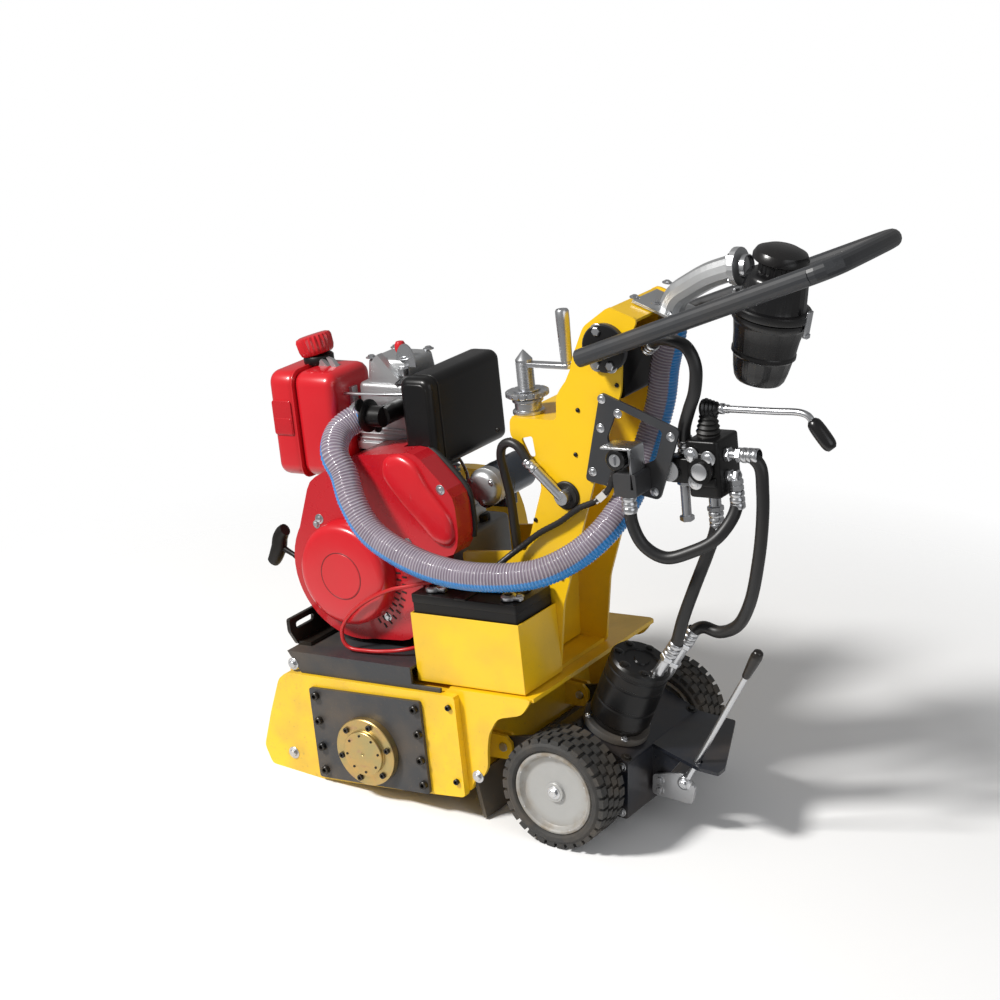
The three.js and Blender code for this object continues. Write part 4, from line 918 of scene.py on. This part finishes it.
# ---------------------------------------------------------------- battery fittings
# Lead clamps with bolts on the two posts; the black plastic lid has a lip, a filler strip and a
# narrow strap across it.
clamps = []
for post in (168, 343):
    clamps += [turn([(0, 0), (14, 0), (16, 2), (16, 8), (13, 11), (0, 12)], [post, -195, 339], UP, 28),
               block((post + 8, post + 30), (-202, -188), (340, 349), 3, 1.5)]
parts = fitted(clamps, zinc)
parts += bolted([[192.0, -195, 349], [367.0, -195, 349]], UP, 6, 5)
parts += fitted([block((150, 356), (-172, -132), (337.5, 344), 8, 2),
                 block((236, 262), (-226, -92), (338, 342), 3, 1),
                 block((131.5, 374.5), (-221.5, -97), (321, 338.6), 4, 1.5)], plastic)
piece("battery_clamps", parts, "body", sharp=40)

# ---------------------------------------------------------------- column fittings
# Screws that hold the inner panels, a rubber grommet in the port hole, and the bolted head plate.
COLUMN_FACE = -90.3
spots = on_face(COLUMN_FACE, (285, 641), (312, 623), (351, 466), (456, 603), (470, 690), (398, 352),
                (560, 742))
parts = fitted(screws(spots, LEFT, 4.5, 3.5, "pan"), black_oxide)
mirror = spots * [1, -1, 1]
parts += fitted(screws(mirror, RIGHT, 4.5, 3.5, "pan"), black_oxide)
ring = np.linspace(0, 2 * math.pi, 64, endpoint=False)
grommet = [np.stack([427 + (24 + 4.5 * math.cos(t)) * np.cos(ring), np.full(64, -91.5 - 3.5 * math.sin(t)),
                     521 + (24 + 4.5 * math.cos(t)) * np.sin(ring)], -1)
           for t in np.linspace(0, 2 * math.pi, 13)]
parts += fitted([loft(grommet), solid([(25, 0), (25, 1.4)], [427, -95.2, 521], LEFT, 40)], rubber)
parts += bolted([[x, y, z] for x, z in ((596, 901.5), (640, 892.0)) for y in (-60, 60)],
                (0.22, 0, 0.975), 6, 5)
piece("column_screws", parts, "body", sharp=40)

# ---------------------------------------------------------------- depth screw
# A zinc-plated locking wheel with notches, a threaded barrel ending in a cone, and a crank
# whose upright grip turns on its pin. The bush below is bolted to the column's shelf.
around = np.linspace(0, 2 * math.pi, 216, endpoint=False)


def notched(radius, depth, teeth, low, high, centre):
    """A wheel with rounded notches in its rim, between two levels."""
    rim_at = radius - depth * np.clip(np.cos(around * teeth) * 2.4 - 1.2, 0, 1)
    rings = [np.column_stack([centre[0] + rim_at * share * np.cos(around),
                              centre[1] + rim_at * share * np.sin(around), np.full(len(around), level)])
             for share, level in ((0.96, low), (1.0, low + 1.4), (1.0, high - 1.4), (0.96, high))]
    return loft(rings)


SCREW = (334, -50)              # the depth screw's axis, X and Y
levels = np.arange(712, 767, 1.4)
thread = [(0, 0), *[(17 - 1.5 * (n % 2), level - 711) for n, level in enumerate(levels)],
          (16.5, 57), (16.5, 61), (1.2, 79), (0, 79.5)]
grip_profile = [(0, 0), (9, 0), (11, 2), (11.5, 20), (13, 80), (13, 97), (11, 100.5), (0, 101)]
shapes = [notched(42, 4.5, 18, 701, 711, SCREW), turn(thread, [*SCREW, 711], UP, 40),
          solid([(24, 0), (26, 1.5), (26, 3), (20, 5)], [*SCREW, 711], UP, 40),
          block((322, 442), (-61, -39), (758, 767), 10.5, 1.4), turn(grip_profile, [430, -50, 771], UP, 36),
          solid([(7, 0), (7, 5)], [430, -50, 766.6], UP, 24)]
piece("crank_wheel", fitted(shapes, zinc), "depth_crank", ["depth_crank"], sharp=35)
bush = [(0, 0), (30, 0), (31, 1), (31, 6), (29, 8), (26, 9), (26, 22), (29, 23), (30, 24), (30, 29), (0, 30)]
parts = fitted([turn(bush, [*SCREW, 667], UP, 48)], zinc)
piece("screw_bush", parts, "body", ["crank_bush"], sharp=35)

# ---------------------------------------------------------------- handlebar clamp discs
# Each end of the bent tube is closed by a domed plug and clamped by two bolts through its disc.
parts = []
for side in (-1, 1):
    outward = (0, side, 0)
    spots = np.array([[533, side * 99.3, 845.0], [526, side * 99.3, 783.0], [556, side * 99.3, 781.0]])
    parts += bolted(spots, outward, 9, 8)
    ring_shape = solid([(42, 0), (43.5, 0.8), (43.5, 1.6), (42, 2.2)], [544, side * 99.0, 813], outward, 64)
    parts += fitted([ring_shape], black)
piece("handlebar_bolts", parts, "handlebar", sharp=35)

# ---------------------------------------------------------------- air cleaner
# A black moulded cyclone cleaner: a ribbed cup, a clamping ring with two clips, the body and a
# mushroom cap over the inlet vanes.
moulded = paint("moulded_black", (0.007, 0.007, 0.008), 0.27, 0.2, grain=0.0001)
LEAN = np.array([0.279, 0, 1.0]) / math.hypot(0.279, 1)
FOOT = [803, 0, 738]


def lobed(profile, ribs):
    """A turned shape along the cleaner's leaning axis whose wall carries upright ribs; each
    profile row is radius, height and rib depth."""
    u, v, w = basis(LEAN)
    out = np.cos(around)[:, None] * u + np.sin(around)[:, None] * v
    rings = [np.array(FOOT) + LEAN * height
             + (radius + depth * np.clip(np.cos(around * ribs) * 2 - 1, 0, 1))[:, None] * out
             for radius, height, depth in profile]
    return loft(rings)


cup = [(6, 0, 0), (34, 1, 0), (42, 4, 0), (46, 10, 0.2), (50, 26, 0.5), (54, 50, 0.6), (57, 54, 0),
       (59, 56, 0), (59, 62, 0), (57.5, 64, 0), (60, 90, 0.5), (64, 112, 0.4), (66, 116, 0), (69, 120, 0),
       (70, 126, 0), (70, 130, 0), (10, 131, 0)]
body_rings = [(10, 132.5, 0), (72, 133, 0), (73, 135, 0), (73, 145, 0), (71, 147.5, 0), (62, 149, 0),
              (60, 156, 0.6), (57, 192, 0.6), (56, 200, 0), (53, 205, 0), (48, 208, 0), (36, 211, 2),
              (36, 229, 2), (47, 230, 0), (51, 233, 0), (51, 240, 0), (46, 249, 0), (31, 256, 0), (8, 258, 0)]
piece("cleaner_bowl", fitted([lobed(cup, 24)], moulded), "body", ["cleaner_cup"], sharp=35)
clip = cushion((-9, 9), (-3, 3), (0, 46), 2, 1.2, (1, 0, 2))
clip_low = cushion((-7, 7), (-4, 6), (0, 8), 2, 1.2, (1, 0, 2))
clips = []
for side in (-1, 1):
    for shape, lift in ((clip, 112), (clip_low, 108)):
        points = shape[0].copy()
        points[:, 0] = points[:, 0] * side + side * 74
        across = np.array([LEAN[2], 0, -LEAN[0]])
        clips.append((np.array(FOOT) + points[:, :1] * across + points[:, 1:2] * np.array([0, 1.0, 0])
                      + (points[:, 2:] + lift) * LEAN, shape[1]))
piece("cleaner_body", fitted([lobed(body_rings, 24)], moulded) + fitted(clips, zinc),
      "body", ["air_cleaner"], sharp=35)
elbow_band = [turn([(25.2, 0), (26.4, 0.4), (26.4, 9.6), (25.2, 10)], [640, 9.5, 850], (0.76, 0, 0.65), 40),
              turn([(20.6, 0), (22.2, 0.5), (22.2, 9.5), (20.6, 10)], [792, 0, 949], REAR, 40)]
flange_bolts = screws([[773.5, 28 * math.cos(t), 949 + 28 * math.sin(t)]
                       for t in np.radians([45, 135, 225, 315])], FRONT, 5, 5, "hex")
piece("elbow_bolts", fitted(flange_bolts + elbow_band, zinc), "body", sharp=35)

# ---------------------------------------------------------------- control valve
# A black cast spool valve with plated plugs, a bellows boot round the spool, and a plated lever
# bent down to a black grip. It hangs on the slotted control plate beside the column.
gloss = paint("valve_black", (0.005, 0.005, 0.0055), 0.34, 0.1, grain=0.0001, Specular_IOR_Level=0.3)
shapes = [block((692, 758), (-90, -4), (538, 646), 9, 5), block((648, 696), (-84, -30), (561, 609), 8, 4),
          block((698, 752), (-94, 0), (560, 578), 4, 3), block((698, 752), (-94, 0), (606, 624), 4, 3),
          solid([(22, 0), (24, 2), (24, 10)], [725, -90, 592], LEFT, 40)]
parts = fitted(shapes, gloss)
bellows = [(0, 0), (22, 0)] + [(22 - n * 0.9 + (1.8 if n % 2 else -1.2), 3 + n * 4.6)
                               for n in range(9)] + [(13, 46), (0, 47)]
collar_rings = [(0, 0), (17, 1)] + [(18 - n * 0.9 + (1.8 if n % 2 else -1.0), 3 + n * 3.6)
                                    for n in range(9)] + [(8, 36), (0, 36.5)]
parts += fitted([turn(bellows, [720, -50, 647], (5, -2, 47), 40)], rubber)
plugs = screws([[710, -94, 569], [740, -94, 615], [706, -94, 620.0]], LEFT, 9, 7, "hex")
plugs += screws([[646.5, -57, 585.0]], FRONT, 15, 9, "hex")
plugs += [solid([(15, 0), (16, 1.5), (16, 5), (12, 6.5)], [725, -100, 592], LEFT, 32),
          solid([(19, 0), (20, 1.5), (20, 7)], [654, -84, 585], LEFT, 32)]
parts += fitted(plugs, zinc)
piece("spool_valve", parts, "body", ["valve_block"], sharp=38)


def adapter(start, end, across, nut=1.25):
    """A steel hose adapter: a hexagon nut at each end of a smooth round neck."""
    start, end = np.array(start, float), np.array(end, float)
    length = np.linalg.norm(end - start)
    axis = (end - start) / length
    neck = turn([(0, 0), (across * 0.82, 0), (across * 0.82, length), (0, length)], start, axis, 28)
    nuts = [turn([(0, 0), (across * nut * 0.9, 0), (across * nut, 1.6), (across * nut, 9),
                  (across * nut * 0.9, 10.6), (0, 10.6)], start + axis * far, axis, 6)
            for far in (0, max(length - 10.6, 0))]
    return [neck] + nuts


fittings = adapter((758, -60, 616), (792, -60, 616), 11) + adapter((758, -60, 575), (783, -60, 575), 10)
bend = curve([[765, -60, 575], [773, -60, 573], [775, -60, 565], [775, -60, 556.0]], 16)
fittings += [sweep(bend, 10, 20)]
fittings += adapter((775, -60, 570), (775, -60, 548), 11)
fittings += adapter((720, -45, 541), (720, -45, 500), 14, 1.12)
fittings += adapter((668, -60, 562), (667, -60, 482), 11)
piece("valve_adapters", fitted(fittings, zinc), "body", sharp=35)
rod = curve([[728, -52, 698], [790, -55, 699.5], [860, -58, 701], [916, -60, 702], [930, -60.5, 697],
             [938, -61, 687], [944, -61.5, 677.0]], 48)
grip = curve([[936, -61, 690], [955, -62, 665], [974, -63, 640.0]], 14)
girth = np.array([8, 12, 13.4, 14, 14.2, 14.4, 14.4, 14.4, 14.4, 14.2, 14, 13.4, 12, 8.0])
boot = turn(collar_rings, [714, -51.5, 697], (1, -0.03, 0.02), 36)
knuckle = [solid([(9, 0), (10, 1.5), (10, 8), (8, 10)], [750, -53, 698.6], (1, -0.03, 0.02), 28),
           solid([(8, 0), (8, 4)], [764, -53.6, 699], (1, -0.03, 0.02), 28)]
piece("valve_handle", fitted([sweep(rod, 6.4, 20)] + knuckle, zinc)
      + fitted([sweep(grip, girth, 24), boot], moulded), "body", ["valve_lever"], sharp=60)
angle_plate = [cushion((545, 612), (598, 640), (-104, -101), 5, 0.8),
               cushion((607, 611), (562, 640), (-150, -101.5), 5, 0.8),
               cushion((548, 611), (637, 641), (-150, -101.5), 1.8, 0.8)]
barrel = solid([(17, 0), (17, 34), (19, 35), (20, 37), (20, 42), (18, 44), (13, 44.4), (12, 42)],
               [576, -104, 616], LEFT, 44)
key_face = [turn([(0, 0), (11.5, 0), (12, 1), (12, 2.6), (0, 3)], [576, -145.6, 616], LEFT, 36),
            cushion((574.6, 577.4), (607, 625), (-153, -148), 1.3, 0.6)]
piece("key_barrel", fitted(angle_plate + key_face, zinc) + fitted([barrel], moulded),
      "body", ["key_switch"], sharp=38)
CONTROL_FACE = -96.8
spots = on_face(CONTROL_FACE, (528, 716), (668, 652), (494, 574), (624, 545), (520, 660), (560, 690))
piece("panel_screws", bolted(spots, LEFT, 5.5, 4.5), "body", sharp=38)

# ---------------------------------------------------------------- drive unit
# A black orbital motor on a cast flange over the welded axle box, its end cap held by seven
# screws, and a plated engaging lever in a clevis.
def on_axle(shapes):
    """Shapes measured from the axle in level axes in millimetres, moved to the frame."""
    return [(ground(points), faces) for points, faces in shapes]


def driven(shapes, look):
    return tinted(on_axle(shapes), look)


MOTOR_AXIS = np.array([47, 0, 130]) / math.hypot(47, 130)
MOTOR_FOOT = np.array([30, -60, 79.1])
flange = [(0, 0.4), (64, 0.4), (67, 2.5), (67, 13), (66, 15.6), (0, 16.2)]
case = [(0, 16), (54, 16.3), (55, 18), (55, 27), (61, 33), (61, 66), (58.5, 68), (58.5, 72), (61, 74),
        (61, 116), (58.5, 118), (58.5, 122), (61.3, 124), (61.3, 142), (59, 144), (59, 147), (61, 149),
        (61, 158), (57, 163.6), (35, 164), (33, 161), (16, 161), (14, 164), (0, 164)]
seven = np.radians(np.arange(7) * 360 / 7 + 12)
cap_screw = screws([MOTOR_FOOT + MOTOR_AXIS * 163.2 + basis(MOTOR_AXIS)[0] * 47], MOTOR_AXIS, 7.5, 5.5, "hex")
four = np.radians([45, 135, 225, 315])
foot_screw = screws([MOTOR_FOOT + MOTOR_AXIS * 15.6 + basis(MOTOR_AXIS)[0] * 61], MOTOR_AXIS, 4.5, 6, "hex")
parts = driven([turn(case, MOTOR_FOOT, MOTOR_AXIS, 64)], gloss)
parts += driven([ring_of(shape, MOTOR_FOOT, MOTOR_AXIS, seven) for shape in cap_screw], black_oxide)
piece("orbital_motor", parts, "drive_frame", ["drive_motor"], sharp=35)
elbows = []
for port in (np.array([165, -30, 277.0]), np.array([150, -70, 261.0])):
    low = port - [49, 0, 90]
    root = MOTOR_FOOT + MOTOR_AXIS * 118 + (low - port) * 0.05
    root = root + (low - root) * 0.42
    elbows.append(sweep(curve([root, root + (low - root) * 0.6, low + [6, 0, 11], low + [25, 0, 46], port],
                              26), 11, 20))
    elbows += adapter(low + [20, 0, 37], port, 12)
piece("motor_adapters", driven(elbows, zinc), "drive_frame", sharp=35)
parts = driven([turn(flange, MOTOR_FOOT, MOTOR_AXIS, 64)], iron)
parts += driven([ring_of(shape, MOTOR_FOOT, MOTOR_AXIS, four) for shape in foot_screw], zinc)
piece("motor_foot", parts, "drive_frame", ["motor_flange"], sharp=35)
rod = curve([[188, -62, 0], [249, -62, 128], [310, -62, 256.0]], 30)
knob = curve([[308, -62, 252], [321.5, -62, 282], [335, -62, 312.0]], 20)
girth = np.interp(np.arange(20), [0, 1, 4, 9, 15, 18, 19], [7, 8, 9, 10.5, 11.8, 9.5, 5])
eye = solid([(13, 0), (14, 1), (14, 11), (13, 12)], [188, -56, 0], LEFT, 36)
piece("engaging_lever", driven([sweep(rod, 6, 20), eye], zinc) + driven([sweep(knob, girth, 28)], moulded),
      "drive_frame", ["clutch_lever"], sharp=60)
pin = screws([[188, -68.5, 0], [128, -54.3, -36], [128, -54.3, -14.0]], LEFT, 6.5, 5.5, "hex")
piece("lever_bolts", driven(pin, zinc), "drive_frame", sharp=35)
BOX_FACE = -140.3
spots = on_face(BOX_FACE, (92, 40), (94, -56), (-52, 62), (-62, -46), (22, -58))
parts = driven(screws(spots, LEFT, 6, 5, "hex"), zinc)
parts += driven(screws(spots * [1, -1, 1], RIGHT, 6, 5, "hex"), zinc)
spots = np.array([[95, y, 55.8] for y in (-128, 128)] + [[-12, y, 94.5] for y in (-128, 10, 128)], float)
parts += driven(screws(spots, MOTOR_AXIS, 7, 6, "hex"), black_oxide)
piece("axle_box_bolts", parts, "drive_frame", sharp=35)

# ---------------------------------------------------------------- milling drum
# A drum cage: a shaft tube, discs that carry six cross shafts, and hardened star cutters that
# turn loose on them, with washers between.
worn = paint("worn_steel", (0.24, 0.225, 0.21), 0.5, 0.9, grain=0.0003, Metallic=0.7)
CENTRE = np.array([15, 0, 12])


def star(reach, root, points, y, thick):
    """A star cutter on the drum's cross shaft, flat on both faces."""
    swing = np.linspace(0, 2 * math.pi, points * 4, endpoint=False)
    radius = np.tile([reach, (reach + root) / 2, root, (reach + root) / 2], points)
    ring_at = np.column_stack([41 + radius * np.cos(swing), np.zeros(points * 4), radius * np.sin(swing)])
    return loft([ring_at + [0, y, 0], ring_at + [0, y + thick, 0]])


rows = np.arange(-196, 192, 15.5)
cutters = [star(20.5, 14.5, 8, y, 7) for y in rows]
six = np.arange(6) * math.pi / 3
placed = [ring_of((points + CENTRE, faces), CENTRE, RIGHT, six) for points, faces in cutters]
discs = [turn([(20, 0), (58, 0), (60, 1.5), (60, 8.5), (58, 10), (20, 10)], [15, y, 12], RIGHT, 48)
         for y in (-213, -5, 203)]
cross = ring_of(solid([(7, 0), (7, 424)], [56, -212, 12], RIGHT, 16), CENTRE, RIGHT, six)
shaft = solid([(19, 0), (19.7, 1), (19.7, 494), (19, 495)], [15, -247.5, 12], RIGHT, 32)
tube = solid([(25, 0), (25, 420)], [15, -210, 12], RIGHT, 32)
piece("cutter_cage", fitted(placed + discs + [cross, shaft, tube], worn),
      "drum", ["milling_drum"], sharp=30)

# ---------------------------------------------------------------- crankcase and cylinder
# The engine block is a plain mass inside; outside it is a cast crankcase with ribs, a bolted
# camshaft cover, an oil filler and drain, and a cylinder with cooling fins under the head.
case_grey = paint("crankcase_grey", (0.20, 0.205, 0.21), 0.5, 0.5, grain=0.0003, Metallic=0.55)
foot = 193.9
casting = [block((-175, 150), (-55, 120), (foot, 400), 18, 7), block((-86, 62), (-50, 90), (398, 430), 12, 4),
           block((-74, 50), (-40, 80), (428, 567), 16, 1)]
cover_plate = cushion((-160, 134), (214, 380), (119, 127), 22, 3)
fins = [block((-88, 64), (-52, 92), (level, level + 3.2), 16, 0.9) for level in np.arange(436, 564, 9.5)]
ribs = [block((x, x + 6), (119, 131), (foot, 216), 2, 1) for x in (-150, -96, -42, 12, 66, 120)]
sump = [block((-178, 153), (-56, 124), (foot, 212), 12, 3)]
nose_out = [solid([(46, 0), (48, 2), (48, 10), (40, 12), (30, 24)], [-50, 119, 350], RIGHT, 44),
            solid([(22, 0), (22, 85)], [-50, 119.5, 350], RIGHT, 32)]
filler = [turn([(0, 0), (16, 0), (18, 2), (18, 12), (15, 15), (0, 16)], [118, 60, 399.5], UP, 32)]
parts = fitted(casting + fins + ribs + sump + [cover_plate] + nose_out[:1], case_grey)
parts += fitted(nose_out[1:], zinc) + fitted(filler, plastic)
around_cover = on_face(127, *[(x, z) for x in (-146, 120) for z in (226, 297, 368)],
                       (-50, 226), (40, 226), (40, 368))
parts += bolted(around_cover, RIGHT, 5.5, 5)
parts += bolted([[-176, 20, 214.0]], FRONT, 11, 9) + bolted([[-110, 124, 206], [90, 124, 206]], RIGHT, 8, 8)
piece("crankcase", parts, "body", ["engine_block"], sharp=35)

# ---------------------------------------------------------------- injection pump
# The injection pump stands on the crankcase beside the cylinder; a steel pipe rises to the head.
pump = [block((84, 124), (20, 74), (400, 436), 6, 3),
        solid([(15, 0), (15, 24), (11, 28), (11, 44)], [104, 46, 436], UP, 28)]
pipe = curve([[104, 46, 478], [104, 46, 500], [98, 30, 540], [80, 12, 580], [66, 6, 612], [58, 4, 640.0]], 40)
parts = fitted(pump, cast) + fitted([sweep(pipe, 3.2, 12)], zinc)
parts += bolted([[104, 46, 480.0]], UP, 8, 8)
piece("injection_pump", parts, "body", sharp=35)

# ---------------------------------------------------------------- belt guard and frame bolts
# The belt guard is a dished cover; a raised band follows its outline and four washered bolts hold it.
GUARD_FACE = 286.2
spots = on_face(GUARD_FACE, (-44, -30), (52, -30), (44, 372), (-96, 410), (-140, 316))
washers = [turn([(0, 0), (12, 0), (12.5, 0.6), (12.5, 1.6), (0, 2)], spot, RIGHT, 32) for spot in spots]
piece("guard_bolts", fitted(screws(spots + [0, 2, 0], RIGHT, 7.5, 6, "hex") + washers, zinc),
      "body", sharp=35)
